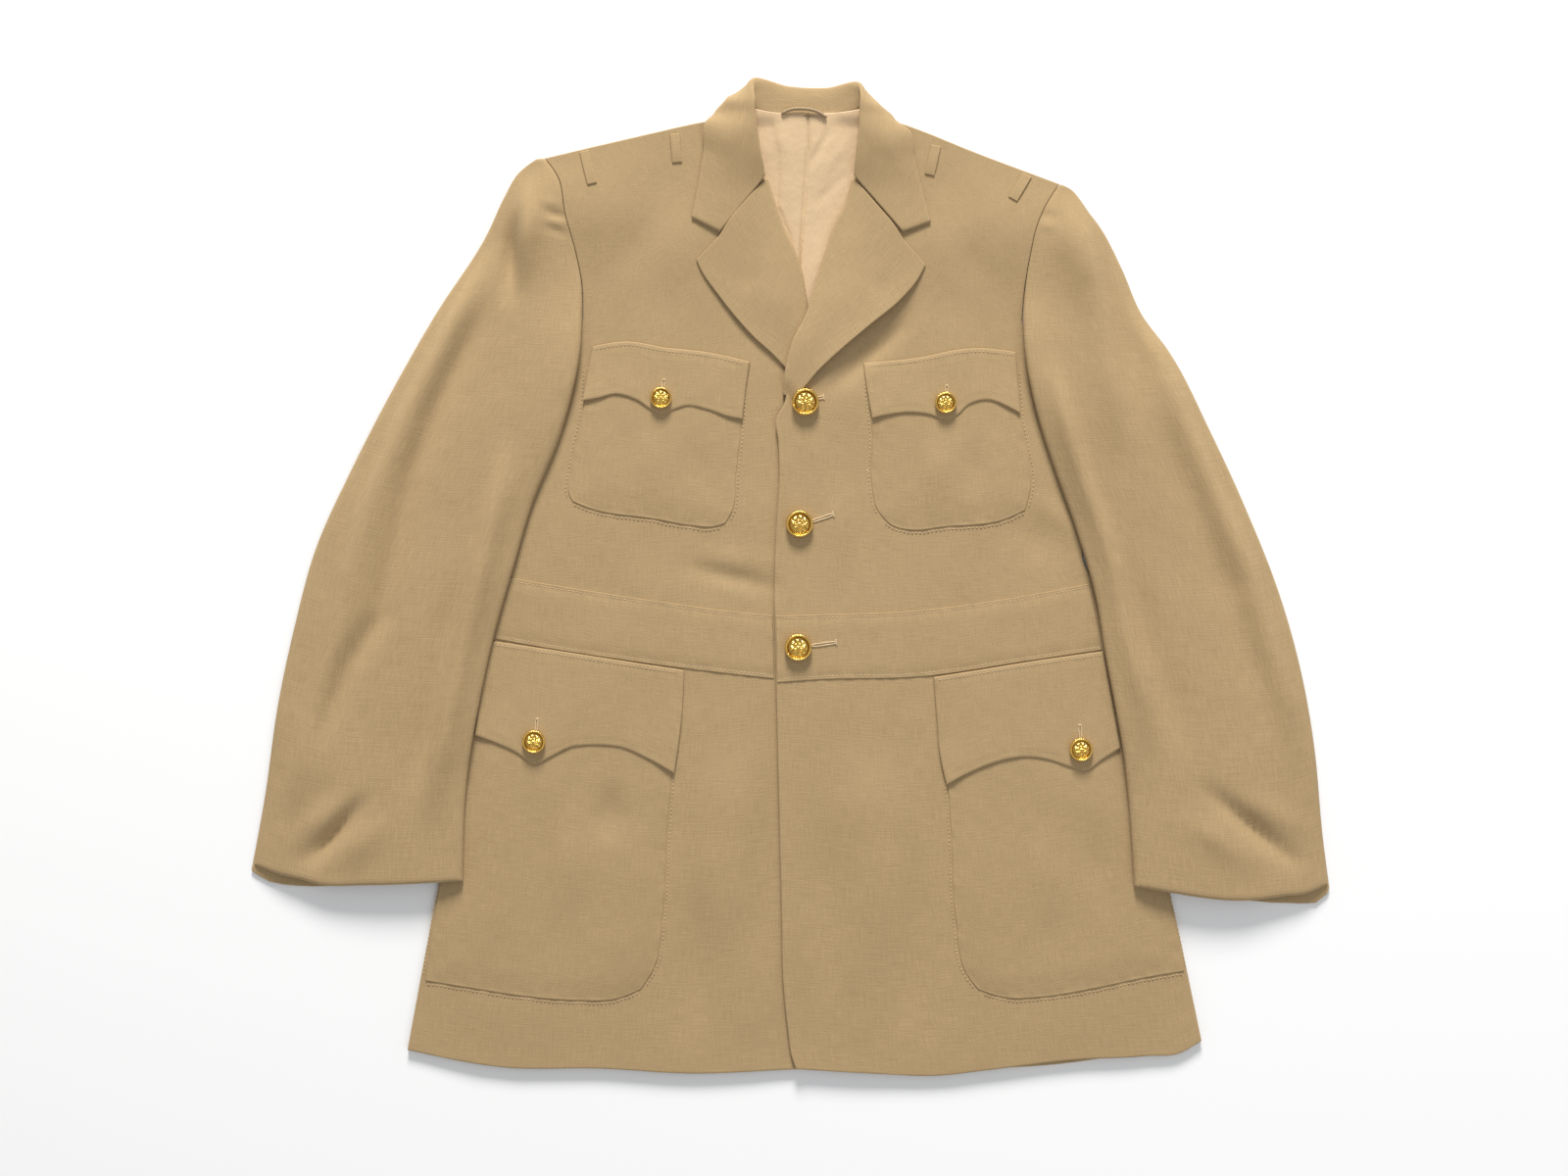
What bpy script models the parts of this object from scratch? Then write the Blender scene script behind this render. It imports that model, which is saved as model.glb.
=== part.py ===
"""Service dress jacket, laid flat on its back with its front up.

Lengths in the tables are millimetres and become metres when a mesh is made. The
origin is on the surface under the middle of the garment. +Y runs to the collar,
+Z up, and +X to the wearer's left. Each piece of cloth is a closed wall: a grid of
points in plan, laid on whatever lies beneath it.
"""
import math
from collections import namedtuple

import bpy
import numpy as np
from mathutils import Vector
from mathutils.bvhtree import BVHTree

MM = 0.001

# Walls and gaps
BACK_WALL = 1.6
FRONT_WALL = 2.0
SLEEVE_WALL = 2.0
UNDER_WALL = 1.6
LAPEL_WALL = 2.0
COLLAR_WALL = 1.6
LINING_WALL = 1.0
POCKET_WALL = 1.2
FLAP_WALL = 1.6
BELT_WALL = 1.5
LOOP_WALL = 1.2
GAP = 0.35

# Fullness of the cloth, from nothing at an edge to its depth well inside
FRONT_FULLNESS = 1.7
FRONT_FULLNESS_RUN = 70.0
FRONT_DEEPEST_FOLD = -0.8
SLEEVE_FULLNESS = 3.2
SLEEVE_ROUNDNESS = 0.6

# Padding under the shoulders, below and inside each armhole's top
PAD_HEIGHT = 8.5
PAD_SPREAD_X = 52.0
PAD_SPREAD_Y = 46.0
PAD_IN = 14.0
PAD_BELOW = 34.0

# The back is lifted over the collar's fall, which lies under it
NECK_MIDDLE_X = 14.0
NECK_LIFT = 3.7
NECK_LIFT_HALF_WIDTH = 88.0
NECK_LIFT_START_Y = 322.0
NECK_LIFT_RUN = 22.0

# Buttons: 35-line on the front, smaller on the pockets
FRONT_BUTTON = 22.2
POCKET_BUTTON = 17.6
SKIRT_BUTTON = 19.0
BUTTON_SIDES = 16

KHAKI = (0.46, 0.335, 0.185)
LINING_COLOUR = (0.72, 0.53, 0.33)
GILT = (0.83, 0.58, 0.17)
LOOP_COLOUR = (0.36, 0.25, 0.14)

Soft = namedtuple("Soft", "x0 y0 x1 y1 width height")

# Soft folds of the fronts: start, end, half width, height (a trough is negative)
FRONT_FOLDS = (
    Soft(-95, 10, -14, -6, 16, -1.1),
    Soft(-140, -165, -150, -222, 20, -0.8),
    Soft(-60, 330, -120, 215, 26, 0.9),
    Soft(110, 325, 150, 215, 26, 0.9),
    Soft(175, 60, 225, 5, 22, -0.8),
    Soft(60, -120, 75, -330, 30, 0.9),
    Soft(-45, -120, -60, -330, 30, 0.9),
)
# Soft folds of the sleeves: start, end, half width, height
SLEEVE_FOLDS = (
    Soft(-256, 255, -310, 90, 15, 1.6),
    Soft(-270, 181, -328, 35, 14, -1.8),
    Soft(-258, 35, -293, -208, 20, 1.2),
    Soft(-339, -51, -402, -165, 18, -1.8),
    Soft(-347, -184, -394, -233, 12, -2.2),
    Soft(240, 302, 248, 240, 14, 1.4),
    Soft(252, 277, 282, 118, 13, -1.8),
    Soft(304, 180, 322, 131, 14, 1.4),
    Soft(239, 96, 291, -186, 20, 1.4),
    Soft(352, -182, 423, -247, 16, -2.2),
)

# Edges as (x, y) rows. The armhole seam is shared by the front, back and sleeve.
SEAM_RIGHT = ((-199, 340), (-189, 326), (-183, 295), (-175, 266), (-170, 239), (-169.5, 213))
SEAM_LEFT = ((219, 320.5), (207, 302), (199.5, 283.5), (195.5, 265), (191.5, 240.5), (189, 210))
ARMPIT_RIGHT = ((-169.5, 213), (-176, 176), (-200, 143), (-232, 124), (-265, 116))
ARMPIT_LEFT = ((189, 210), (196, 176), (222, 144), (254, 127), (287, 120))
SIDE_RIGHT = ((-265, 116), (-248, 50), (-243, -12), (-253, -88), (-269, -168), (-287, -252), (-312, -384))
SIDE_LEFT = ((287, 120), (252, 60), (238.5, 15), (252, -8), (264, -50), (272, -95), (287, -168), (309, -256),
             (335, -376.5))
SHOULDER_RIGHT = ((-199, 340), (-116, 360.5), (-72, 371), (-34, 377.5))
SHOULDER_LEFT = ((219, 320.5), (150, 347), (96, 368), (62, 379))
HEM_RIGHT = ((-312, -384), (-233, -398), (-154, -399), (-81, -403), (0, -400), (29, -399))
HEM_LEFT = ((4.5, -399), (13, -405.3), (48, -405.3), (104, -400.5), (180, -399), (219, -398), (275, -388.5),
            (335, -376.5))
NECK_BACK = ((-34, 377.5), (-20, 376.2), (14, 375.6), (46, 375.8), (62, 379))
HEM_BACK = ((-312, -384), (-233, -396), (-81, -399), (48, -399), (219, -396), (335, -376.5))

# Roll lines, where each lapel turns back, and the edges below them
GORGE_RIGHT = ((-34, 377.5), (-30, 350), (-21, 324.5))
ROLL_RIGHT = ((-21, 324.5), (-15.5, 307), (-8.5, 287), (1, 267), (6.5, 251.5), (10, 233), (13, 211.5), (17, 185),
              (22, 158))
EDGE_RIGHT = ((22, 158), (29, 135), (31, 100), (31, -200), (29, -399))
GORGE_LEFT = ((62, 379), (58, 350), (52.5, 324.5))
ROLL_LEFT = ((52.5, 324.5), (47, 305), (39.5, 290), (30, 263), (23, 239), (14, 211.5), (4.5, 193), (-1, 173),
             (-3.5, 149))
EDGE_LEFT = ((-3.5, 149), (-9, 120), (-9.5, 75), (-11, 43.5), (-12.8, -2), (-12, -63.5), (-10, -155), (-7, -280),
             (-6, -327), (-2, -368), (1, -389), (4.5, -399))

# Lapels: outer edge from the notch down, and the top edge along the notch and gorge
LAPEL_OUTER_RIGHT = ((-76.5, 259), (-73, 251), (-59.5, 231.5), (-45, 213), (-30, 196.5), (-14, 182), (-1, 168),
                     (12, 150))
LAPEL_TOP_RIGHT = (((-76.5, 259), (-57.5, 275.5)), ((-57.5, 275.5), (-51.5, 286), (-35.5, 303), (-21, 324)))
LAPEL_OUTER_LEFT = ((110, 255), (103.5, 243), (89, 226), (65, 206), (43, 187.5), (23, 169), (8.5, 152.5),
                    (-1, 144))
LAPEL_TOP_LEFT = (((110, 255), (91.5, 275.5)), ((91.5, 275.5), (85, 284.5), (69, 303), (52.5, 324)))
# The lapel bulges, its free edge stands off the cloth, and it turns round the front's edge in an arc
LAPEL_LIFT = 1.2
LAPEL_LIFT_FADE = 0.5
LAPEL_EDGE_LIFT = 6.5
LAPEL_EDGE_FADE_ACROSS = 1.5
LAPEL_EDGE_FADE_ALONG = 1.2
LAPEL_ROLL_RADIUS = 2.3
LAPEL_ROLL_DEGREES = (37, 74, 111)
LAPEL_TOP_STEPS = (2, 4)
LAPEL_DOWN = 12

# Sleeves: outer edge, inner fold below the seam, and the two cuff edges
SLEEVE_OUTER_RIGHT = ((-205, 341), (-222, 328.5), (-231.5, 312.5), (-247, 280.5), (-288.5, 216.5), (-325, 152.5),
                      (-358, 88.5), (-387, 24.5), (-404.5, -39.5), (-418, -103.5), (-427, -167.5), (-439.6, -238))
FOLD_RIGHT = ((-169.5, 213), (-171.5, 179), (-177.5, 150), (-187.5, 115.5), (-210, 60.5), (-224.5, 11.5),
              (-242, -51), (-253, -103), (-263, -165), (-266, -246))
SLEEVE_OUTER_LEFT = ((221.5, 324), (235, 315.5), (247, 300.5), (259, 280.5), (289, 216.5), (311.5, 184.5),
                     (342, 120.5), (371.5, 56.5), (397, -7.5), (415.5, -71.5), (427, -135.5), (433, -199.5),
                     (439.6, -252))
FOLD_LEFT = ((189, 210), (191, 179.5), (196.5, 149), (205, 118), (215, 88.5), (233, 38), (248.5, -17), (255.5, -60),
             (263.5, -103), (270, -139.5), (277, -210), (279, -250))
CUFF_RIGHT = ((-439.6, -238), (-424, -247.5), (-407, -250), (-348, -249.5), (-266, -246))
CUFF_LEFT = ((439.6, -252), (436, -260), (404, -264.5), (370, -262), (309, -255.5), (279, -250))
TOP_CUFF_RIGHT = ((-437, -233), (-415, -241), (-400, -244), (-381, -249), (-348, -249), (-266.4, -245.6))
TOP_CUFF_LEFT = ((438, -249), (418, -257), (404, -258), (370, -261.5), (309, -255), (279.4, -249.6))

# Belt, from the side to the front edge
BELT_TOP_RIGHT = ((-241, 3), (-187.5, -6), (-110, -18), (-38.5, -27.5), (-14.6, -29.6))
BELT_LOW_RIGHT = ((-246, -48), (-204.5, -55.5), (-130, -67), (-53, -77), (-13.4, -81.3))
BELT_TOP_LEFT = ((243, -4), (175, -16.5), (101, -26), (24.5, -29), (-11.8, -30))
BELT_LOW_LEFT = ((254, -58), (193, -67), (107.5, -79.5), (24.5, -82), (-10.6, -84.3))

Patch = namedtuple("Patch", "top bottom outer inner across down")

# Pockets and flaps: top, bottom, side nearest the sleeve and side nearest the front edge
CHEST_POCKET_RIGHT = Patch(
    ((-166, 172), (-39, 163)),
    ((-177, 63), (-164, 57.5), (-110, 48.5), (-82, 43.5), (-62, 42.5), (-53, 45.5)),
    ((-166, 172), (-168, 141), (-179, 84), (-180.5, 70), (-177, 63)),
    ((-39, 163), (-40, 128), (-44.5, 84), (-47.5, 55), (-53, 45.5)), 7, 6)
CHEST_POCKET_LEFT = Patch(
    ((184, 170), (62, 162)),
    ((191, 56), (175, 48.5), (123, 42), (101, 39.5), (83, 43.5), (75, 51)),
    ((184, 170), (187.5, 128), (195, 72), (191, 56)),
    ((62, 162), (66.5, 120), (67.5, 68.5), (70, 58), (75, 51)), 7, 6)
CHEST_FLAP_RIGHT = Patch(
    ((-161, 189), (-134, 193), (-102, 188), (-70, 184.5), (-33, 176.5)),
    ((-169, 144.5), (-157, 146.5), (-142, 150), (-126, 145.5), (-110, 135.5), (-103.5, 133.5), (-96.5, 136.5),
     (-84, 140.5), (-70, 138), (-48, 131), (-39, 129.5)),
    ((-161, 189), (-165, 169), (-169, 144.5)),
    ((-33, 176.5), (-36.5, 153), (-39, 129.5)), 16, 4)
CHEST_FLAP_LEFT = Patch(
    ((183.5, 184.5), (150, 187.5), (131.5, 185.5), (111, 181), (59.5, 175.5)),
    ((187, 134), (178, 139), (160, 145.3), (144.5, 141), (136.5, 133.5), (128, 129), (113, 133.3), (95, 135),
     (79.5, 133), (66.5, 130)),
    ((183.5, 184.5), (187, 134)),
    ((59.5, 175.5), (62, 155), (66.5, 130)), 16, 4)
SKIRT_POCKET_RIGHT = Patch(
    ((-253, -95), (-97, -112)),
    ((-297, -327.5), (-261, -333), (-218, -339.5), (-175, -343), (-141, -341.5), (-122, -334)),
    ((-253, -95), (-268, -168), (-286, -252), (-297, -327.5)),
    ((-97, -112), (-97.5, -160), (-100.5, -208), (-104.5, -276.5), (-111, -316.5), (-122, -334)), 9, 9)
SKIRT_POCKET_LEFT = Patch(
    ((263, -102), (124, -118)),
    ((320.5, -319.5), (287.5, -325), (249, -333), (202, -340.5), (176.5, -341), (153, -334)),
    ((263, -102), (281.5, -168), (307, -256), (320.5, -319.5)),
    ((124, -118), (128.5, -171), (131, -206), (135, -280), (142, -319), (153, -334)), 9, 9)
SKIRT_FLAP_RIGHT = Patch(
    ((-247, -50), (-204.5, -56.3), (-130, -67.8), (-86.5, -74.4)),
    ((-257, -127.5), (-239, -134), (-222, -142), (-208.5, -151), (-195, -145), (-178, -137), (-157, -135.5),
     (-139, -137), (-114, -147.5), (-94.5, -158.5)),
    ((-247, -50), (-257, -127.5)),
    ((-86.5, -74.4), (-88.5, -113), (-94.5, -158.5)), 16, 5)
SKIRT_FLAP_LEFT = Patch(
    ((254.5, -59), (193, -67.8), (150, -74.8), (116.5, -80)),
    ((268.5, -138), (254, -147), (239, -156.5), (227, -153), (210, -147.5), (193, -145), (175, -147),
     (156.5, -153), (127, -167.5)),
    ((254.5, -59), (268.5, -138)),
    ((116.5, -80), (119, -112.5), (122, -146), (127, -167.5)), 16, 5)

# Lining seen in the neck
LINING = Patch(
    ((-33, 375.6), (14, 375.3), (64, 375.6)),
    ((-2, 196), (20, 196)),
    ((-33, 375.6), (-31, 330), (-12, 275), (-2, 196)),
    ((64, 375.6), (63, 330), (42, 275), (20, 196)), 6, 8)

Station = namedtuple("Station", "stand roll middle edge")

# The collar's cross sections from the right gorge round the neck to the left gorge:
# lower edge of the stand, the roll, the middle of the fall and its free edge (x, y, z)
COLLAR_STATIONS = (
    Station((-27, 325.5, 10), (-21.5, 325.6, 14), (-57.5, 281.5, 11), (-80.5, 293, 10.5)),
    Station((-30, 336, 10), (-23, 337, 15), (-53, 309, 12), (-75.5, 318, 10.5)),
    Station((-33, 350, 10.5), (-25.5, 350, 16), (-50, 338, 13), (-71, 346, 11)),
    Station((-37, 367, 11), (-28, 368, 17.5), (-49, 366, 15), (-68.5, 371, 12.5)),
    Station((-36.6, 375, 10.4), (-29.2, 377.5, 17.6), (-49.5, 378.5, 11.5), (-63, 376.8, 9)),
    Station((-35, 382.5, 10), (-29.5, 388, 17.5), (-48, 389.5, 4.5), (-57.5, 381.5, 1.2)),
    Station((-24, 381.5, 7.5), (-28.5, 405, 11), (-41, 393, 1.1), (-47, 371, 1.1)),
    Station((-6.8, 377.9, 4.6), (-1.2, 400.6, 3.6), (-2, 384, 1.1), (-3, 354, 1.1)),
    Station((14, 377, 4.6), (12, 399.4, 3.6), (13, 384, 1.1), (14, 352, 1.1)),
    Station((32.4, 376.8, 4.6), (30, 399.4, 3.6), (30, 384, 1.1), (31, 354, 1.1)),
    Station((52, 382.5, 7.5), (55, 402.5, 11), (67, 391, 1.1), (74, 370, 1.1)),
    Station((64, 384, 10), (57, 387, 17.5), (71.5, 385.5, 5), (81.5, 379, 1.2)),
    Station((65.4, 376, 10.5), (56.3, 377, 17.6), (75.5, 375.5, 12), (88.8, 372.4, 10)),
    Station((66, 367, 11), (56, 367, 17.5), (77, 361, 15), (96.5, 364, 12)),
    Station((62, 350, 10.5), (54.5, 350, 16), (81, 334, 13), (101, 341, 11)),
    Station((59, 336, 10), (53.5, 337, 15), (85, 307, 12), (107.5, 315, 10.5)),
    Station((57.5, 325.5, 10), (53, 325.6, 14), (91.5, 281.5, 11), (114, 289.5, 10.5)),
)
COLLAR_STEPS = 24
COLLAR_DRAPED_ABOVE = 4.9
# The roll is an arc over this share of the stand and the fall, in steps, opened wider where it lies low
COLLAR_BEND = 0.4
COLLAR_BEND_STEPS = 4
COLLAR_OPENING = 1.3
COLLAR_LOW_BELOW = 12.0
COLLAR_LOW_RUN = 9.0
# The fall under the back stays this far above the surface
COLLAR_FOOT = 0.1

HANGER_LOOP = ((-7.5, 377.5, 8.2), (-2, 380.5, 8.6), (10, 381.8, 9.0), (22, 379.4, 8.9), (29.5, 374.5, 8.6))
HANGER_RADIUS = 1.4
HANGER_STEPS = 10
HANGER_SIDES = 6

Bar = namedtuple("Bar", "name top_x top_y low_x low_y width")
SHOULDER_LOOPS = (
    Bar("shoulder_loop_right_outer", -167.5, 347.5, -161, 320.5, 8),
    Bar("shoulder_loop_right_inner", -94, 361.5, -92, 338, 8),
    Bar("shoulder_loop_left_inner", 118.5, 352, 113, 328, 8),
    Bar("shoulder_loop_left_outer", 192.5, 328, 180.5, 308, 8),
)

Button = namedtuple("Button", "name x y diameter lean_x lean_y")
BUTTONS = (
    Button("button_front_1", 12.1, 143.3, FRONT_BUTTON, 0, 0),
    Button("button_front_2", 7.4, 44.4, FRONT_BUTTON, 0, 0),
    Button("button_front_3", 6.3, -55.9, FRONT_BUTTON, 0, 0),
    Button("button_chest_right", -105.2, 146.8, POCKET_BUTTON, 8, 0),
    Button("button_chest_left", 126, 142.8, POCKET_BUTTON, 5, -14),
    Button("button_skirt_right", -208.4, -132.4, SKIRT_BUTTON, 0, 0),
    Button("button_skirt_left", 236, -138.8, SKIRT_BUTTON, 0, 0),
)
# Button profile: share of the radius, share of the height
BUTTON_PROFILE = ((0.80, 0.0), (0.97, 0.10), (1.0, 0.30), (0.95, 0.48), (0.84, 0.50), (0.80, 0.56), (0.62, 0.80),
                  (0.34, 0.95))
BUTTON_HEIGHT_SHARE = 0.27

# Steps along the shared edges, and across a front and a sleeve
SEAM_STEPS = 5
ARMPIT_STEPS = 4
SIDE_STEPS = 13
GORGE_STEPS = 2
ROLL_STEPS = 7
EDGE_STEPS = 13
SHOULDER_STEPS = 4
FRONT_ACROSS = 12
SLEEVE_STEPS = 22
SLEEVE_ACROSS = 7
BELT_ACROSS = 14
BELT_DOWN = 3
LOOP_STEPS = 4
SPAN_STEPS = 24

# How far round each point a sheet looks for what it must clear: about half a cell
FRONT_REACH = 10.0
UNDER_REACH = 16.0
CHEST_REACH = 8.0
LAPEL_REACH = 5.0
SKIRT_REACH = 12.0
LINING_REACH = 4.0
SLEEVE_REACH = 5.0
REACH_RINGS = (0.5, 1.0)
REACH_TURNS = 8
ABOVE_ALL = 200.0

# Rounds of pulling a laid sheet taut
TAUT = 6
TAUT_UNDER = 10
TAUT_SLEEVE = 2
TAUT_OVERLAY = 1
SHARP_DEGREES = 40

made = {}
surfaces = {}


def clear_scene():
    for item in list(bpy.data.objects):
        bpy.data.objects.remove(item, do_unlink=True)


def material(name, colour, roughness, metallic=0.0):
    found = bpy.data.materials.get(name)
    if found:
        return found
    found = bpy.data.materials.new(name)
    found.use_nodes = True
    shader = found.node_tree.nodes["Principled BSDF"]
    shader.inputs["Base Color"].default_value = (*colour, 1.0)
    shader.inputs["Roughness"].default_value = roughness
    shader.inputs["Metallic"].default_value = metallic
    return found


def wool():
    return material("khaki_wool", KHAKI, 0.85)


def ease(share):
    """A step from 0 to 1 with level ends."""
    held = np.clip(share, 0.0, 1.0)
    return held * held * (3.0 - 2.0 * held)


def curve(rows, steps):
    """Points at even steps along the smooth curve through the rows (cubic spans, chord-length tangents)."""
    rows = np.array(rows, dtype=float)
    if len(rows) == 2:
        share = np.linspace(0.0, 1.0, steps + 1)[:, None]
        return rows[0] * (1.0 - share) + rows[1] * share
    chord = np.maximum(np.linalg.norm(np.diff(rows, axis=0), axis=1), 1e-9)
    slope = np.diff(rows, axis=0) / chord[:, None]
    tangent = np.empty_like(rows)
    weight = (chord[1:] / (chord[:-1] + chord[1:]))[:, None]
    tangent[1:-1] = slope[:-1] * weight + slope[1:] * (1.0 - weight)
    tangent[0] = 1.5 * slope[0] - 0.5 * tangent[1]
    tangent[-1] = 1.5 * slope[-1] - 0.5 * tangent[-2]
    share = np.linspace(0.0, 1.0, SPAN_STEPS, endpoint=False)[:, None]
    fine = []
    for here in range(len(chord)):
        square = share * share
        cube = square * share
        fine.append((2 * cube - 3 * square + 1) * rows[here] + (3 * square - 2 * cube) * rows[here + 1]
                    + (cube - 2 * square + share) * tangent[here] * chord[here]
                    + (cube - square) * tangent[here + 1] * chord[here])
    fine = np.vstack(fine + [rows[-1:]])
    length = np.concatenate([[0.0], np.cumsum(np.linalg.norm(np.diff(fine, axis=0), axis=1))])
    wanted = np.linspace(0.0, length[-1], steps + 1)
    return np.stack([np.interp(wanted, length, fine[:, axis]) for axis in range(fine.shape[1])], axis=1)


def joined(*stretches):
    """One edge from several stretches, each a pair of rows and steps."""
    points = [curve(rows, steps) for rows, steps in stretches]
    return np.vstack([points[0]] + [part[1:] for part in points[1:]])


def plan_between(top, bottom, outer, inner):
    """A grid in plan between four edges: each edge's own shape, blended across (a Coons patch)."""
    across = np.linspace(0.0, 1.0, len(top))[None, :, None]
    down = np.linspace(0.0, 1.0, len(outer))[:, None, None]
    corners = ((1 - across) * (1 - down) * top[0] + across * (1 - down) * top[-1]
               + (1 - across) * down * bottom[0] + across * down * bottom[-1])
    return ((1 - down) * top[None, :, :] + down * bottom[None, :, :]
            + (1 - across) * outer[:, None, :] + across * inner[:, None, :] - corners)


def add_mesh(name, vertices, faces, look):
    mesh = bpy.data.meshes.new(name)
    mesh.from_pydata([tuple(point * MM) for point in vertices], [], faces)
    mesh.validate()
    mesh.shade_smooth()
    mesh.set_sharp_from_angle(angle=math.radians(SHARP_DEGREES))
    mesh.materials.append(look)
    piece = bpy.data.objects.new(name, mesh)
    bpy.context.scene.collection.objects.link(piece)
    made[name] = piece
    surfaces[name] = BVHTree.FromPolygons([Vector(point) for point in vertices], faces)
    return piece


def closed_wall(name, upper, lower, look):
    """A wall between two grids of points, in triangles, closed round its four edges, facing out."""
    rows, columns = upper.shape[:2]
    count = rows * columns
    vertices = np.vstack([upper.reshape(-1, 3), lower.reshape(-1, 3)])

    def at(row, column):
        return row * columns + column

    across, down = upper[0, 1, :2] - upper[0, 0, :2], upper[1, 0, :2] - upper[0, 0, :2]
    flipped = across[0] * down[1] - across[1] * down[0] < 0
    faces = []
    for row in range(rows - 1):
        for column in range(columns - 1):
            a, b = at(row, column), at(row, column + 1)
            c, d = at(row + 1, column + 1), at(row + 1, column)
            for corners in ((a, b, c), (a, c, d)):
                faces.append(list(corners))
                faces.append([corner + count for corner in reversed(corners)])
    rim = [at(0, c) for c in range(columns)] + [at(r, columns - 1) for r in range(1, rows)]
    rim += [at(rows - 1, c) for c in range(columns - 2, -1, -1)] + [at(r, 0) for r in range(rows - 2, 0, -1)]
    for here, there in zip(rim, rim[1:] + rim[:1]):
        faces.append([there, here, here + count])
        faces.append([there, here + count, there + count])
    if flipped:
        faces = [face[::-1] for face in faces]
    return add_mesh(name, vertices, faces, look)


def height_of(names, x, y):
    """Top of the named pieces at a point, or the surface they lie on."""
    best = 0.0
    for name in names:
        hit = surfaces[name].ray_cast(Vector((x, y, ABOVE_ALL)), Vector((0, 0, -1)))
        if hit[0] is not None:
            best = max(best, hit[0].z)
    return best


def laid_on(plan, names, reach, passes=TAUT, free_rows=0):
    """Lowest heights at which a sheet on this plan clears what lies beneath it.

    Each point takes the highest thing within reach, and then the sheet is pulled taut:
    a point rises to the mean of its neighbours where that is higher.
    """
    rows, columns = plan.shape[:2]
    height = np.zeros((rows, columns))
    around = [(0.0, 0.0)]
    for ring in REACH_RINGS:
        for turn in range(REACH_TURNS):
            angle = turn * 2 * math.pi / REACH_TURNS
            around.append((reach * ring * math.cos(angle), reach * ring * math.sin(angle)))
    for row in range(rows):
        for column in range(columns):
            x, y = plan[row, column]
            spots = around if row >= free_rows else around[:1]
            height[row, column] = max(height_of(names, x + dx, y + dy) for dx, dy in spots)
    for _ in range(passes):
        padded = np.pad(height, 1, mode="edge")
        mean = (padded[:-2, 1:-1] + padded[2:, 1:-1] + padded[1:-1, :-2] + padded[1:-1, 2:]) / 4
        height = np.maximum(height, mean)
    return height + GAP


def edge_distance(plan):
    """Distance of each grid point to the nearest of the two long sides, in millimetres."""
    outer = np.linalg.norm(plan - plan[:, :1], axis=2)
    inner = np.linalg.norm(plan - plan[:, -1:], axis=2)
    return np.minimum(outer, inner)


def folds_at(plan, folds):
    """Sum of soft folds: a bell across each fold's line, fading past its ends."""
    total = np.zeros(plan.shape[:2])
    for fold in folds:
        start = np.array((fold.x0, fold.y0), dtype=float)
        run = np.array((fold.x1, fold.y1), dtype=float) - start
        share = np.clip(((plan - start) @ run) / (run @ run), 0.0, 1.0)
        away = np.linalg.norm(plan - (start + share[..., None] * run), axis=2)
        total += fold.height * np.exp(-((away / fold.width) ** 2)) * (0.35 + 0.65 * np.sin(math.pi * share) ** 2)
    return total


def pad_at(plan):
    """Extra thickness of the padded shoulders, highest beside each armhole's top."""
    total = np.zeros(plan.shape[:2])
    for (x, y), inward in ((SEAM_RIGHT[0], PAD_IN), (SEAM_LEFT[0], -PAD_IN)):
        x, y = x + inward, y - PAD_BELOW
        total += np.exp(-((plan[..., 0] - x) / PAD_SPREAD_X) ** 2 - ((plan[..., 1] - y) / PAD_SPREAD_Y) ** 2)
    return PAD_HEIGHT * total


def with_height(plan, height):
    return np.concatenate([plan, height[..., None]], axis=2)


def sheet(name, plan, bottom, wall, look):
    return closed_wall(name, with_height(plan, bottom + wall), with_height(plan, bottom), look)


def side_edge(seam, armpit, side, seam_inset):
    """A body panel's side: along the armhole seam just inside it, round to the armpit, and down."""
    edge = joined((seam, SEAM_STEPS), (armpit, ARMPIT_STEPS), (side, SIDE_STEPS))
    edge[:SEAM_STEPS + 1, 0] += seam_inset
    return edge


def neck_lift(plan):
    sideways = ease((NECK_LIFT_HALF_WIDTH + NECK_LIFT_RUN - np.abs(plan[..., 0] - NECK_MIDDLE_X)) / NECK_LIFT_RUN)
    return NECK_LIFT * sideways * ease((plan[..., 1] - NECK_LIFT_START_Y) / NECK_LIFT_RUN)


def make_back():
    right = side_edge(SEAM_RIGHT, ARMPIT_RIGHT, SIDE_RIGHT, GAP)
    left = side_edge(SEAM_LEFT, ARMPIT_LEFT, SIDE_LEFT, -GAP)
    top = joined((SHOULDER_RIGHT, SHOULDER_STEPS), (NECK_BACK, SHOULDER_STEPS), (SHOULDER_LEFT[::-1], SHOULDER_STEPS))
    plan = plan_between(top, curve(HEM_BACK, len(top) - 1), right, left)
    sheet("back_panel", plan, neck_lift(plan), BACK_WALL, wool())


def make_lining():
    look = material("lining_cloth", LINING_COLOUR, 0.45)
    plan = patch_plan(LINING)
    sheet("neck_lining", plan, laid_on(plan, ["back_panel"], LINING_REACH), LINING_WALL, look)


def patch_plan(patch):
    return plan_between(curve(patch.top, patch.across), curve(patch.bottom, patch.across),
                        curve(patch.outer, patch.down), curve(patch.inner, patch.down))


def front_plan(outer, inner, shoulder, hem):
    """A front's grid, from its side to its front edge."""
    return plan_between(curve(shoulder, FRONT_ACROSS), curve(hem, FRONT_ACROSS), outer, inner)


def make_front(name, outer, inner, shoulder, hem, beneath):
    plan = front_plan(outer, inner, shoulder, hem)
    inside = ease(edge_distance(plan) / FRONT_FULLNESS_RUN)
    fullness = FRONT_FULLNESS * inside + np.maximum(folds_at(plan, FRONT_FOLDS), FRONT_DEEPEST_FOLD) * inside
    bottom = laid_on(plan, beneath, FRONT_REACH) + fullness
    sheet(name, plan, bottom, FRONT_WALL + pad_at(plan), wool())


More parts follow.
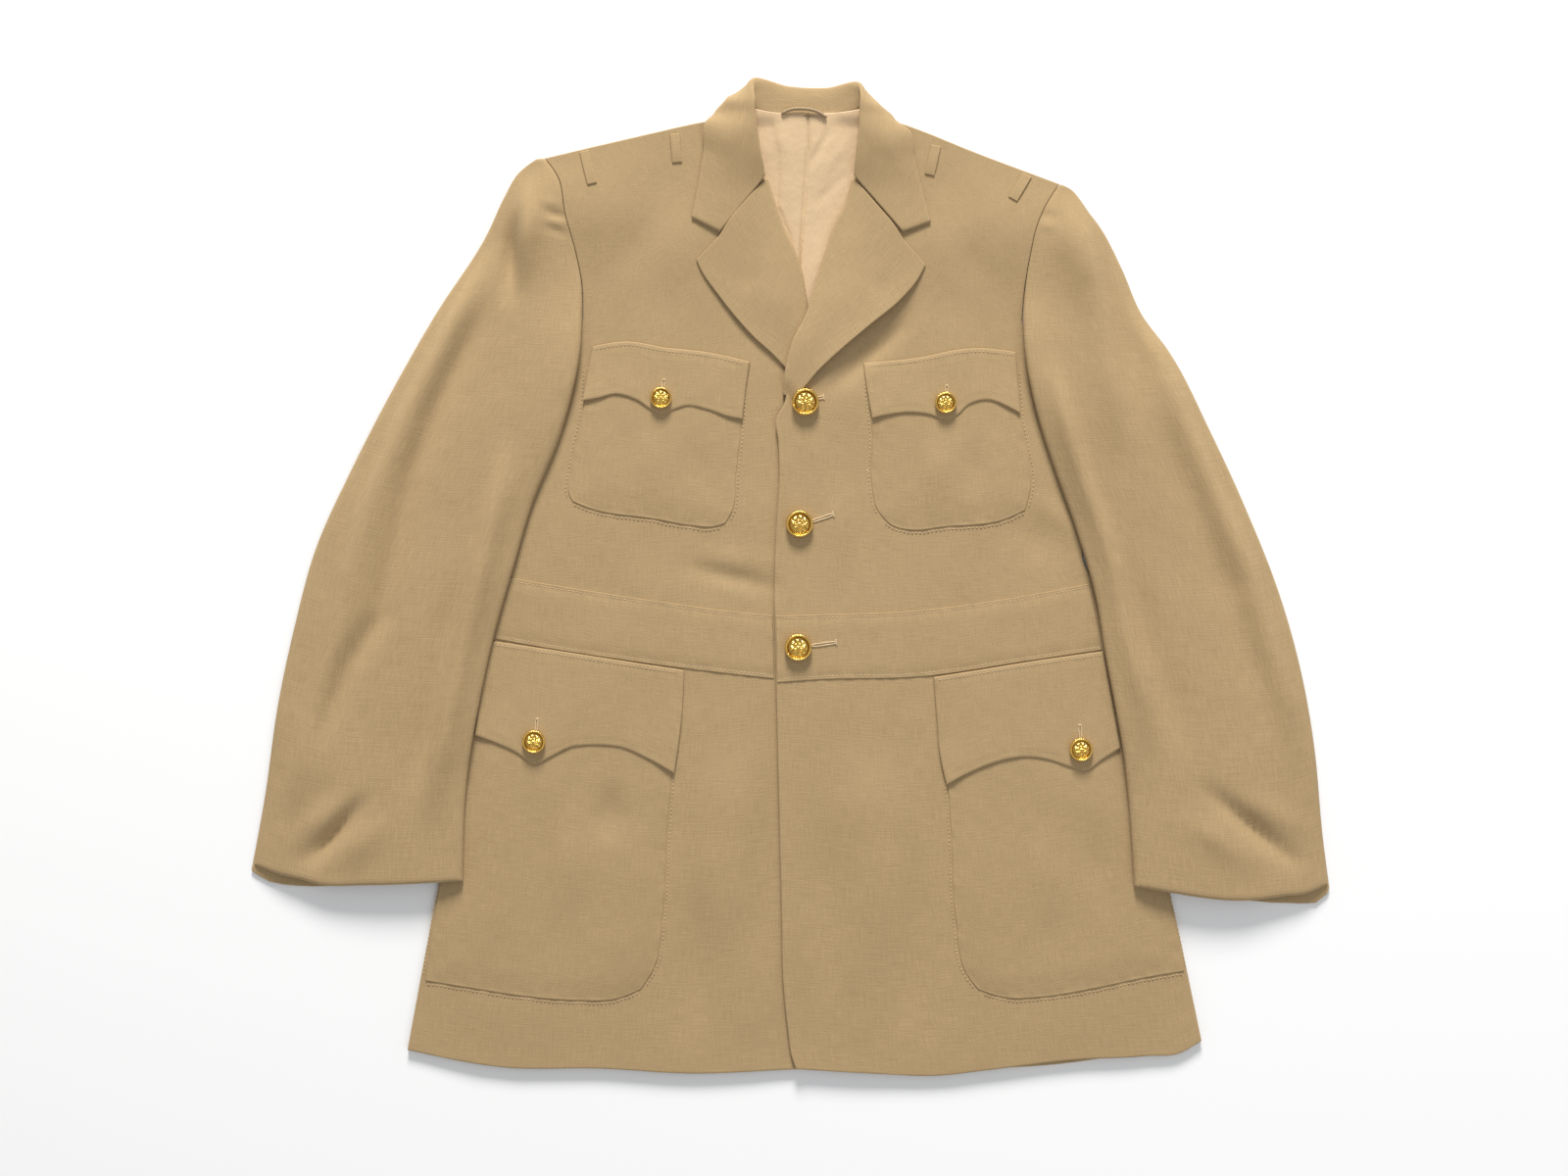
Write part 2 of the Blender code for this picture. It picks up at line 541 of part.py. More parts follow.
def make_fronts():
    right = side_edge(SEAM_RIGHT, ARMPIT_RIGHT, SIDE_RIGHT, GAP)
    inner = joined((GORGE_RIGHT, GORGE_STEPS), (ROLL_RIGHT, ROLL_STEPS), (EDGE_RIGHT, EDGE_STEPS))
    make_front("front_right", right, inner, SHOULDER_RIGHT, HEM_RIGHT, ["back_panel", "neck_lining"])
    make_lapel("lapel_right", LAPEL_TOP_RIGHT, LAPEL_OUTER_RIGHT, ROLL_RIGHT, ["front_right"], LAPEL_LIFT, 0.0)
    left = side_edge(SEAM_LEFT, ARMPIT_LEFT, SIDE_LEFT, -GAP)
    inner = joined((GORGE_LEFT, GORGE_STEPS), (ROLL_LEFT, ROLL_STEPS), (EDGE_LEFT, EDGE_STEPS))
    beneath = ["back_panel", "neck_lining", "front_right", "lapel_right"]
    make_front("front_left", left, inner, SHOULDER_LEFT, HEM_LEFT, beneath)
    make_lapel("lapel_left", LAPEL_TOP_LEFT, LAPEL_OUTER_LEFT, ROLL_LEFT, ["front_left", "lapel_right"], LAPEL_LIFT,
               LAPEL_EDGE_LIFT)


def thick(middle, wall):
    """Upper and lower points of a wall about a middle surface, moved along its normals."""
    along = np.gradient(middle, axis=0)
    across = np.gradient(middle, axis=1)
    normal = np.cross(across, along)
    normal /= np.maximum(np.linalg.norm(normal, axis=2), 1e-9)[..., None]
    return middle + normal * wall / 2, middle - normal * wall / 2


def make_lapel(name, top_edges, outer, roll, beneath, lift, edge_lift):
    """A lapel from its outer edge to the roll, then round the front's edge in an arc."""
    across, down = sum(LAPEL_TOP_STEPS), LAPEL_DOWN
    top = joined(*zip(top_edges, LAPEL_TOP_STEPS))
    roll_points = curve(roll, down)
    bottom = curve((outer[-1], tuple(roll_points[-1])), across)
    plan = plan_between(top, bottom, curve(outer, down), roll_points)
    share = np.linspace(0.0, 1.0, across + 1)[None, :]
    run = np.linspace(0.0, 1.0, down + 1)[:, None]
    crown = lift * np.sin(math.pi * share) * ease((1 - run) / LAPEL_LIFT_FADE)
    raised = edge_lift * (1 - share) ** LAPEL_EDGE_FADE_ACROSS * np.sin(math.pi * run) ** LAPEL_EDGE_FADE_ALONG
    middle_z = laid_on(plan, beneath, LAPEL_REACH) + LAPEL_WALL / 2 + crown + raised
    middle = with_height(plan, middle_z)
    tangent = np.gradient(roll_points, axis=0)
    outward = np.stack([-tangent[:, 1], tangent[:, 0]], axis=1)
    outward /= np.linalg.norm(outward, axis=1)[:, None]
    inward_hint = plan[:, -1] - plan[:, -2]
    if np.sum(outward * inward_hint) < 0:
        outward = -outward
    columns = [middle]
    for degrees in LAPEL_ROLL_DEGREES:
        angle = math.radians(degrees)
        moved = middle[:, -1].copy()
        moved[:, :2] += outward * LAPEL_ROLL_RADIUS * math.sin(angle)
        moved[:, 2] -= LAPEL_ROLL_RADIUS * (1 - math.cos(angle))
        columns.append(moved[:, None, :])
    middle = np.concatenate(columns, axis=1)
    upper, lower = thick(middle, LAPEL_WALL)
    if upper[1, 1, 2] < lower[1, 1, 2]:
        upper, lower = lower, upper
    closed_wall(name, upper, lower, wool())


def make_collar():
    """One band round the neck: stand, roll and fall, laid on the fronts at its two ends.

    The points are the fold's inside, and the wall grows outward from them.
    """
    guides = {}
    for part in Station._fields:
        guides[part] = curve([getattr(station, part) for station in COLLAR_STATIONS], COLLAR_STEPS)
    stand, roll, fall, edge = (guides[part] for part in Station._fields)
    opening = np.array([[0.0, 0.0, COLLAR_OPENING]])
    low = np.clip((COLLAR_LOW_BELOW - roll[:, 2:]) / COLLAR_LOW_RUN, 0.0, 1.0) * opening
    start = roll + COLLAR_BEND * (stand - roll) + low
    end = roll + COLLAR_BEND * (fall - roll) - low
    pull = 2 * roll - (start + end) / 2
    turn = np.linspace(0.0, 1.0, COLLAR_BEND_STEPS + 1)
    bend = [(1 - t) ** 2 * start + 2 * t * (1 - t) * pull + t * t * end for t in turn]
    columns = [stand] + bend + [(end + fall) / 2, fall, (fall + edge) / 2, edge]
    middle = np.stack(columns, axis=1)
    beneath = ["front_right", "front_left"]
    rest = laid_on(middle[..., :2], beneath, LAPEL_REACH, 0)
    draped = middle[..., 2] > COLLAR_DRAPED_ABOVE
    middle[..., 2] = np.where(draped, np.maximum(middle[..., 2], rest), middle[..., 2])
    middle[..., 2] = np.maximum(middle[..., 2], COLLAR_WALL + COLLAR_FOOT)
    outside = middle - (thick(middle, COLLAR_WALL)[0] - middle) * 2
    outside[..., 2] = np.maximum(outside[..., 2], COLLAR_FOOT)
    closed_wall("collar", middle, outside, wool())


def make_overlay(name, patch, beneath, wall, reach):
    """A piece sewn on a panel, made from the panel's own heights."""
    plan = patch_plan(patch)
    bottom = laid_on(plan, beneath, reach, TAUT_OVERLAY)
    sheet(name, plan, bottom, wall, wool())


def make_pockets():
    for side, front, chest, flap, skirt, skirt_flap in (
            ("right", "front_right", CHEST_POCKET_RIGHT, CHEST_FLAP_RIGHT, SKIRT_POCKET_RIGHT, SKIRT_FLAP_RIGHT),
            ("left", "front_left", CHEST_POCKET_LEFT, CHEST_FLAP_LEFT, SKIRT_POCKET_LEFT, SKIRT_FLAP_LEFT)):
        make_overlay("chest_pocket_" + side, chest, [front], POCKET_WALL, CHEST_REACH)
        make_overlay("chest_flap_" + side, flap, [front, "chest_pocket_" + side], FLAP_WALL, CHEST_REACH)
        make_overlay("skirt_pocket_" + side, skirt, [front], POCKET_WALL, CHEST_REACH)
        make_overlay("skirt_flap_" + side, skirt_flap, [front, "skirt_pocket_" + side], FLAP_WALL, SKIRT_REACH)


def make_belts():
    for side, top, low in (("right", BELT_TOP_RIGHT, BELT_LOW_RIGHT), ("left", BELT_TOP_LEFT, BELT_LOW_LEFT)):
        ends = (top[0], low[0]), (top[-1], low[-1])
        patch = Patch(top, low, ends[0], ends[1], BELT_ACROSS, BELT_DOWN)
        make_overlay("belt_" + side, patch, ["front_" + side], BELT_WALL, CHEST_REACH)


def make_sleeves():
    """Each sleeve: an under half on the surface that climbs over the body, and a full upper half on it."""
    for side, seam, fold, outer, cuff, top_cuff in (
            ("right", SEAM_RIGHT, FOLD_RIGHT, SLEEVE_OUTER_RIGHT, CUFF_RIGHT, TOP_CUFF_RIGHT),
            ("left", SEAM_LEFT, FOLD_LEFT, SLEEVE_OUTER_LEFT, CUFF_LEFT, TOP_CUFF_LEFT)):
        inner = joined((seam, SEAM_STEPS), (fold, SLEEVE_STEPS - SEAM_STEPS))
        head = curve((outer[0], seam[0]), SLEEVE_ACROSS)
        beneath = [name for name in made if not name.startswith(("sleeve", "button", "collar"))]
        plan = plan_between(head, curve(cuff, SLEEVE_ACROSS), curve(outer, SLEEVE_STEPS), inner)
        under = laid_on(plan, beneath, UNDER_REACH, TAUT_UNDER, SEAM_STEPS)
        under = np.where(np.isclose(under, GAP), 0.0, under)
        sheet("sleeve_under_" + side, plan, under, UNDER_WALL, wool())
        upper_inner = joined((seam, SEAM_STEPS), (fold[:-1] + (top_cuff[-1],), SLEEVE_STEPS - SEAM_STEPS))
        upper_outer = curve(outer[:-1] + (top_cuff[0],), SLEEVE_STEPS)
        plan = plan_between(head, curve(top_cuff, SLEEVE_ACROSS), upper_outer, upper_inner)
        share = np.sin(math.pi * np.linspace(0.0, 1.0, SLEEVE_ACROSS + 1)).clip(0)[None, :] ** SLEEVE_ROUNDNESS
        bottom = laid_on(plan, ["sleeve_under_" + side], SLEEVE_REACH, TAUT_SLEEVE) + SLEEVE_FULLNESS * share
        wall = SLEEVE_WALL + pad_at(plan) + np.maximum(folds_at(plan, SLEEVE_FOLDS), 0.0)
        bottom += np.minimum(folds_at(plan, SLEEVE_FOLDS), 0.0) * share
        sheet("sleeve_top_" + side, plan, bottom, wall, wool())


def make_shoulder_loops():
    for bar in SHOULDER_LOOPS:
        top = np.array((bar.top_x, bar.top_y), dtype=float)
        low = np.array((bar.low_x, bar.low_y), dtype=float)
        along = (low - top) / np.linalg.norm(low - top)
        half = np.array((-along[1], along[0])) * bar.width / 2
        patch = Patch((top - half, top + half), (low - half, low + half), (top - half, low - half),
                      (top + half, low + half), 1, LOOP_STEPS)
        make_overlay(bar.name, patch, ["front_left", "front_right"], LOOP_WALL, LAPEL_REACH)


def make_hanger_loop():
    """A thin cord in a low arch over the neck seam, six-sided, closed at both ends."""
    path = curve(HANGER_LOOP, HANGER_STEPS)
    along = np.gradient(path, axis=0)
    along /= np.linalg.norm(along, axis=1)[:, None]
    side = np.cross(along, np.array([0.0, 0.0, 1.0]))
    side /= np.linalg.norm(side, axis=1)[:, None]
    up = np.cross(side, along)
    sides = HANGER_SIDES
    turns = np.arange(sides) * 2 * math.pi / sides
    ring = (side[:, None, :] * np.cos(turns)[None, :, None] + up[:, None, :] * np.sin(turns)[None, :, None])
    points = (path[:, None, :] + HANGER_RADIUS * ring).reshape(-1, 3)
    faces = []
    for step in range(len(path) - 1):
        for turn in range(sides):
            other = (turn + 1) % sides
            faces.append([step * sides + turn, (step + 1) * sides + turn, (step + 1) * sides + other,
                          step * sides + other])
    faces.append(list(range(sides)))
    last = (len(path) - 1) * sides
    faces.append([last + turn for turn in reversed(range(sides))])
    add_mesh("hanger_loop", points, faces, material("hanger_cord", LOOP_COLOUR, 0.7))


def make_buttons():
    """Domed discs with a raised rim, set just above the cloth that they are sewn to."""
    look = material("gilt", GILT, 0.25, 1.0)
    cloth = [name for name in made if not name.startswith("button")]
    for button in BUTTONS:
        radius = button.diameter / 2
        height = button.diameter * BUTTON_HEIGHT_SHARE
        turns = np.arange(BUTTON_SIDES) * 2 * math.pi / BUTTON_SIDES
        points = []
        for share, rise in BUTTON_PROFILE:
            ring = np.stack([np.cos(turns) * share * radius, np.sin(turns) * share * radius,
                             np.full(BUTTON_SIDES, rise * height)], axis=1)
            points.append(ring)
        points = np.vstack(points + [np.array([[0.0, 0.0, height]])])
        lean_x, lean_y = math.radians(button.lean_x), math.radians(button.lean_y)
        points[:, 2] += points[:, 1] * math.tan(lean_x) + points[:, 0] * math.tan(lean_y)
        spots = [height_of(cloth, button.x + x, button.y + y) - z for x, y, z in points[:2 * BUTTON_SIDES]]
        points += np.array([button.x, button.y, max(spots) + GAP])
        faces = [list(reversed(range(BUTTON_SIDES)))]
        for ring in range(len(BUTTON_PROFILE) - 1):
            for turn in range(BUTTON_SIDES):
                other = (turn + 1) % BUTTON_SIDES
                here, above = ring * BUTTON_SIDES, (ring + 1) * BUTTON_SIDES
                faces.append([here + turn, here + other, above + other, above + turn])
        last, tip = (len(BUTTON_PROFILE) - 1) * BUTTON_SIDES, len(points) - 1
        for turn in range(BUTTON_SIDES):
            faces.append([last + turn, last + (turn + 1) % BUTTON_SIDES, tip])
        add_mesh(button.name, points, faces, look)


def main():
    clear_scene()
    make_back()
    make_lining()
    make_fronts()
    make_pockets()
    make_belts()
    make_sleeves()
    make_collar()
    make_shoulder_loops()
    make_hanger_loop()
    make_buttons()


main()
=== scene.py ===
"""Looks of a service dress jacket that lies flat on its back, with its front up."""
import math
from collections import namedtuple

import bpy
import numpy as np
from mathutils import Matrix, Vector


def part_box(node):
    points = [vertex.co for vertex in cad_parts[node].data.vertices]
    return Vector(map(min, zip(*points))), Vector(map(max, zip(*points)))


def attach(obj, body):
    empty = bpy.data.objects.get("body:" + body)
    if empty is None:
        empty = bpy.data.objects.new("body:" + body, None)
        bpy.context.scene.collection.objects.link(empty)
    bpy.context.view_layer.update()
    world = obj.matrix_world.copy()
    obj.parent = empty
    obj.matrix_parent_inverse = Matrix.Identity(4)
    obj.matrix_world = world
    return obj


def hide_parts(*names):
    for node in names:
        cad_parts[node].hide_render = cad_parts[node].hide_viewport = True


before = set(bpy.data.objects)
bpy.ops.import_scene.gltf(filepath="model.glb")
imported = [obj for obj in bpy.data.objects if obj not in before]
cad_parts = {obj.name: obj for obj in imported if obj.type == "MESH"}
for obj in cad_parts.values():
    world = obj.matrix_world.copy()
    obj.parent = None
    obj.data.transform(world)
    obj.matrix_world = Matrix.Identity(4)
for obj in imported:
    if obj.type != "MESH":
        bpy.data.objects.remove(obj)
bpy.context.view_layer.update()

bl_info = {
    "name": "Service Dress Jacket",
    "version": (1, 0, 0),
    "blender": (4, 5, 0),
    "location": "3D View > Sidebar > Jacket",
    "description": "Builds the cloth, buttons and stitching of a flat-laid service dress jacket",
    "category": "Object",
}

MM = 0.001
# A sheet whose longest grid line is narrower than this, in metres, makes declare return early
SMALLEST_CUT = 0.012
# Room between two pieces of cloth, and how far a cut edge is rounded, as a share of its wall
CLEARANCE = 0.35
EDGE_ROUNDING = 0.6
# Shares of a panel's side: the armhole seam, the armpit, the side seam, and a sleeve's whole inner fold
SEAM_PART = 5
ARMPIT_PART = 4
SIDE_PART = 13
SLEEVE_PART = 17
PANEL_PARTS = SEAM_PART + ARMPIT_PART + SIDE_PART

# Places and outlines are in millimetres: +X to the wearer's left, +Y to the collar, +Z up.
# The armhole seam is shared by the front, back and sleeve of its side.
SEAM = {
    "right": ((-200, 341.5), (-189, 326), (-183, 295), (-175, 266), (-170, 239), (-169.5, 213)),
    "left": ((219, 320.5), (207, 302), (199.5, 283.5), (195.5, 265), (191.5, 240.5), (189, 210)),
}
INSET = {"right": CLEARANCE, "left": -CLEARANCE}
ARMPIT = {
    "right": ((-169.5, 213), (-176, 176), (-200, 143), (-232, 124), (-265, 116)),
    "left": ((189, 210), (196, 176), (222, 144), (254, 127), (287, 120)),
}
SIDE = {
    "right": ((-265, 116), (-248, 50), (-243, -12), (-253, -88), (-269, -168), (-287, -252), (-312, -384)),
    "left": ((287, 120), (252, 60), (238.5, 15), (252, -8), (264, -50), (272, -95), (287, -168), (309, -256),
             (335, -376.5)),
}
SHOULDER = {
    "right": ((-200, 341.5), (-116, 361.5), (-72, 371), (-34, 377.5)),
    "left": ((219, 320.5), (150, 347), (96, 368), (62, 379)),
}
HEM = {
    "right": ((-312, -384), (-233, -398), (-154, -399), (-81, -403), (0, -400), (29, -399)),
    "left": ((4.5, -399), (13, -405.3), (48, -405.3), (104, -400.5), (180, -399), (219, -398), (275, -388.5),
             (335, -376.5)),
}
HEM_BACK = ((-312, -384), (-233, -396), (-81, -399), (48, -399), (219, -396), (335, -376.5))
GORGE = {"right": ((-34, 377.5), (-30, 350), (-21, 324.5)), "left": ((62, 379), (58, 350), (52.5, 324.5))}
ROLL = {
    "right": ((-21, 324.5), (-15.5, 307), (-8.5, 287), (1, 267), (6.5, 251.5), (10, 233), (13, 211.5),
              (17, 185), (22, 158)),
    "left": ((52.5, 324.5), (47, 305), (39.5, 290), (30, 263), (23, 239), (14, 211.5), (4.5, 193), (-1, 173),
             (-3.5, 149)),
}
FRONT_EDGE = {
    "right": ((22, 158), (29, 135), (31, 100), (31, -200), (29, -399)),
    "left": ((-3.5, 149), (-5.4, 141), (-9.2, 134.5), (-11.4, 130), (-10, 112), (-9, 82), (-11.3, 43.5),
             (-13, -2), (-12, -63.5), (-10, -155), (-7, -280), (-6, -327), (-2, -368), (1, -389), (4.5, -399)),
}
# Where the right front ends under the left one, and how far the left one takes to come down past it
RIGHT_EDGE = 31
LAP_FADE = 12
LAPEL_OUTER = {
    "right": ((-76.5, 259), (-73, 251), (-59.5, 231.5), (-45, 213), (-30, 196.5), (-14, 182), (-1, 168),
              (12, 150)),
    "left": ((110, 255), (103.5, 243), (89, 226), (65, 206), (43, 187.5), (23, 169), (8.5, 152.5), (-1, 144)),
}
LAPEL_TOP = {
    "right": (((-76.5, 259), (-57.3, 279.5)), ((-57.3, 279.5), (-50.5, 291), (-36, 308.6), (-21, 325.4))),
    "left": (((110, 255), (91.5, 276.5)), ((91.5, 276.5), (86, 285.8), (70.5, 304.5), (53, 325))),
}
SLEEVE_OUTER = {
    "right": ((-205, 341), (-222, 328.5), (-231.5, 312.5), (-247, 280.5), (-288.5, 216.5), (-325, 152.5),
              (-358, 88.5), (-387, 24.5), (-404.5, -39.5), (-418, -103.5), (-427, -167.5), (-439.6, -238)),
    "left": ((220.5, 319.4), (229, 315), (235.5, 307.5), (241.5, 299), (252, 285.5), (270.5, 251.5),
             (285.5, 217), (309, 184.5), (342, 120.5), (371.5, 56.5), (397, -7.5), (415.5, -71.5),
             (427, -135.5), (433, -199.5), (439.6, -252)),
}
SLEEVE_FOLD = {
    "right": ((-169.5, 213), (-171.5, 179), (-177.5, 150), (-187.5, 115.5), (-210, 60.5), (-224.5, 11.5),
              (-242, -51), (-253, -103), (-263, -165), (-266, -246)),
    "left": ((189, 210), (191, 179.5), (196.5, 149), (205, 118), (215, 88.5), (233, 38), (248.5, -17),
             (255.5, -60), (263.5, -103), (270, -139.5), (277, -210), (279, -250)),
}
CUFF_UNDER = {
    "right": ((-439.6, -238), (-424, -247.5), (-407, -250), (-348, -249.5), (-266, -246)),
    "left": ((439.6, -252), (436, -260), (404, -264.5), (370, -262), (309, -255.5), (279, -250)),
}
CUFF_TOP = {
    "right": ((-437, -233), (-415, -241), (-400, -244), (-381, -249), (-348, -249), (-266.4, -245.6)),
    "left": ((438, -249), (418, -257), (404, -258), (370, -261.5), (309, -255), (279.4, -249.6)),
}
BELT_TOP = {
    "right": ((-241, 3), (-187.5, -6), (-110, -18), (-38.5, -27.5), (-14.6, -29.6)),
    "left": ((243, -4), (175, -16.5), (101, -26), (24.5, -29), (-11.8, -30)),
}
BELT_LOW = {
    "right": ((-246, -48), (-204.5, -55.5), (-130, -67), (-53, -77), (-13.4, -81.3)),
    "left": ((254, -58), (193, -67), (107.5, -79.5), (24.5, -82), (-10.6, -84.3)),
}

Patch = namedtuple("Patch", "top bottom outer inner")
CHEST_POCKET = {
    "right": Patch(
        ((-166, 172), (-39, 163)),
        ((-177, 63), (-164, 57.5), (-110, 48.5), (-82, 43.5), (-62, 42.5), (-53, 45.5)),
        ((-166, 172), (-168, 141), (-179, 84), (-180.5, 70), (-177, 63)),
        ((-39, 163), (-40, 128), (-44.5, 84), (-47.5, 55), (-53, 45.5))),
    "left": Patch(
        ((184, 170), (62, 162)),
        ((191, 56), (175, 48.5), (123, 42), (101, 39.5), (83, 43.5), (75, 51)),
        ((184, 170), (187.5, 128), (195, 72), (191, 56)),
        ((62, 162), (66.5, 120), (67.5, 68.5), (70, 58), (75, 51))),
}
CHEST_FLAP = {
    "right": Patch(
        ((-161, 189), (-134, 193), (-102, 188), (-70, 184.5), (-33, 176.5)),
        ((-169, 144.5), (-157, 146.5), (-142, 150), (-126, 145.5), (-110, 135.5), (-103.5, 133.5),
         (-96.5, 136.5), (-84, 140.5), (-70, 138), (-48, 131), (-39, 129.5)),
        ((-161, 189), (-165, 169), (-169, 144.5)),
        ((-33, 176.5), (-36.5, 153), (-39, 129.5))),
    "left": Patch(
        ((183.5, 184.5), (150, 187.5), (131.5, 185.5), (111, 181), (59.5, 175.5)),
        ((187, 134), (178, 139), (160, 145.3), (144.5, 141), (136.5, 133.5), (128, 129), (113, 133.3),
         (95, 135), (79.5, 133), (66.5, 130)),
        ((183.5, 184.5), (187, 134)),
        ((59.5, 175.5), (62, 155), (66.5, 130))),
}
SKIRT_POCKET = {
    "right": Patch(
        ((-253, -95), (-97, -112)),
        ((-297, -327.5), (-261, -333), (-218, -339.5), (-175, -343), (-141, -341.5), (-122, -334)),
        ((-253, -95), (-268, -168), (-286, -252), (-297, -327.5)),
        ((-97, -112), (-97.5, -160), (-100.5, -208), (-104.5, -276.5), (-111, -316.5), (-122, -334))),
    "left": Patch(
        ((263, -102), (124, -118)),
        ((320.5, -319.5), (287.5, -325), (249, -333), (202, -340.5), (176.5, -341), (153, -334)),
        ((263, -102), (281.5, -168), (307, -256), (320.5, -319.5)),
        ((124, -118), (128.5, -171), (131, -206), (135, -280), (142, -319), (153, -334))),
}
SKIRT_FLAP = {
    "right": Patch(
        ((-247, -50), (-204.5, -56.3), (-130, -67.8), (-86.5, -74.4)),
        ((-257, -127.5), (-239, -134), (-222, -142), (-208.5, -151), (-195, -145), (-178, -137), (-157, -135.5),
         (-139, -137), (-114, -147.5), (-94.5, -158.5)),
        ((-247, -50), (-257, -127.5)),
        ((-86.5, -74.4), (-88.5, -113), (-94.5, -158.5))),
    "left": Patch(
        ((254.5, -59), (193, -67.8), (150, -74.8), (116.5, -80)),
        ((268.5, -138), (254, -147), (239, -156.5), (227, -153), (210, -147.5), (193, -145), (175, -147),
         (156.5, -153), (127, -167.5)),
        ((254.5, -59), (268.5, -138)),
        ((116.5, -80), (119, -112.5), (122, -146), (127, -167.5))),
}
LINING = Patch(
    ((-37, 384), (-20, 380), (14, 378.5), (48, 380), (67, 384)),
    ((-2, 196), (20, 196)),
    ((-37, 384), (-31, 330), (-12, 275), (-2, 196)),
    ((67, 384), (63, 330), (42, 275), (20, 196)))

Station = namedtuple("Station", "stand roll middle edge")
# The collar's cross sections from the right gorge round the neck to the left gorge
COLLAR_STATIONS = (
    Station((-27, 325.5, 10), (-21.5, 325.6, 14), (-57.5, 281.5, 11), (-80.5, 293, 10.5)),
    Station((-30, 336, 10), (-23, 337, 15), (-53, 309, 12), (-75.5, 318, 10.5)),
    Station((-33, 350, 10.5), (-25.5, 350, 16), (-50, 338, 13), (-71, 346, 11)),
    Station((-37, 367, 11), (-28, 368, 17.5), (-49, 366, 15), (-68.5, 371, 12.5)),
    Station((-36.6, 375, 10.4), (-29.2, 377.5, 17.6), (-49.5, 378.5, 11.5), (-63, 376.8, 9)),
    Station((-35, 382.5, 10), (-29.5, 388, 17.5), (-52, 388.8, 9.5), (-59, 381.8, 7.2)),
    Station((-24, 379.4, 7.8), (-30.5, 404.6, 11), (-44.5, 394.8, 1.1), (-47, 371, 1.1)),
    Station((-6.8, 376.4, 5.6), (-1.2, 400.6, 3.6), (-2, 384, 1.1), (-3, 354, 1.1)),
    Station((14, 375.6, 5.6), (12, 399.4, 3.6), (13, 384, 1.1), (14, 352, 1.1)),
    Station((32.4, 375.6, 5.6), (30, 399.4, 3.6), (30, 384, 1.1), (31, 354, 1.1)),
    Station((52, 380, 7.8), (56, 401.6, 11), (68, 390.5, 1.1), (74, 370, 1.1)),
    Station((64, 384, 10), (57, 387, 17.5), (71.5, 385.5, 9.5), (79.8, 378.4, 7.2)),
    Station((65.4, 376, 10.5), (56.3, 377, 17.6), (75.5, 375.5, 12), (87.2, 370.6, 10)),
    Station((66, 367, 11), (56, 367, 17.5), (77, 361, 15), (96.5, 364, 12)),
    Station((62, 350, 10.5), (54.5, 350, 16), (81, 334, 13), (101, 341, 11)),
    Station((59, 336, 10), (53.5, 337, 15), (85, 307, 12), (107.5, 315, 10.5)),
    Station((57.5, 325.5, 10), (53, 325.6, 14), (91.5, 281.5, 11), (114, 289.5, 10.5)),
)

# A crease's line, half width and height. A lean makes one side of it that many times wider: the right side
# of the line, or with a minus sign the left side.
Fold = namedtuple("Fold", "path width height lean", defaults=(1.0,))
# How far a crease takes to fade out at each end
FOLD_FADE = 80
# Creases of the fronts, which show in everything sewn on them
FRONT_FOLDS = (
    Fold(((-100, 14), (-60, 4), (-22, -5), (8, -10)), 6.5, -0.85),
    Fold(((-92, 24), (-50, 16), (0, 8)), 9, 0.45),
    Fold(((-150, -20), (-60, -4)), 14, 0.2),
    Fold(((-118, 46), (-122, -8)), 5, -0.25),
    Fold(((-142, -160), (-150, -222)), 12, -1.0),
    Fold(((-172, -170), (-190, -300)), 15, 0.9),
    Fold(((-60, 330), (-120, 215)), 26, 0.8),
    Fold(((-105, 310), (-150, 230)), 16, -0.5),
    Fold(((110, 325), (150, 215)), 26, 0.8),
    Fold(((130, 290), (170, 220)), 14, -0.5),
    Fold(((175, 60), (225, 5)), 16, -0.8),
    Fold(((198, 75), (238, 25)), 9, 0.6),
    Fold(((60, -120), (75, -330)), 20, 1.1),
    Fold(((105, -200), (100, -380)), 13, -0.9),
    Fold(((25, -170), (30, -370)), 14, -0.8),
    Fold(((-45, -120), (-60, -330)), 20, 1.1),
    Fold(((-76, -210), (-80, -390)), 12, -1.0),
    Fold(((-22, -150), (-30, -360)), 11, -0.8),
    Fold(((205, -190), (215, -300)), 15, 0.9),
    Fold(((240, -175), (262, -300)), 12, -0.9),
    Fold(((-110, 125), (-122, 60)), 14, 0.4),
    Fold(((-75, 120), (-70, 55)), 10, -0.3),
    Fold(((120, 120), (118, 55)), 12, 0.5),
    Fold(((148, 118), (152, 58)), 10, -0.5),
    Fold(((14, 136), (54, 176), (88, 204), (114, 244)), 9, -1.5),
    Fold(((40, 90), (44, 10)), 14, 0.4),
)
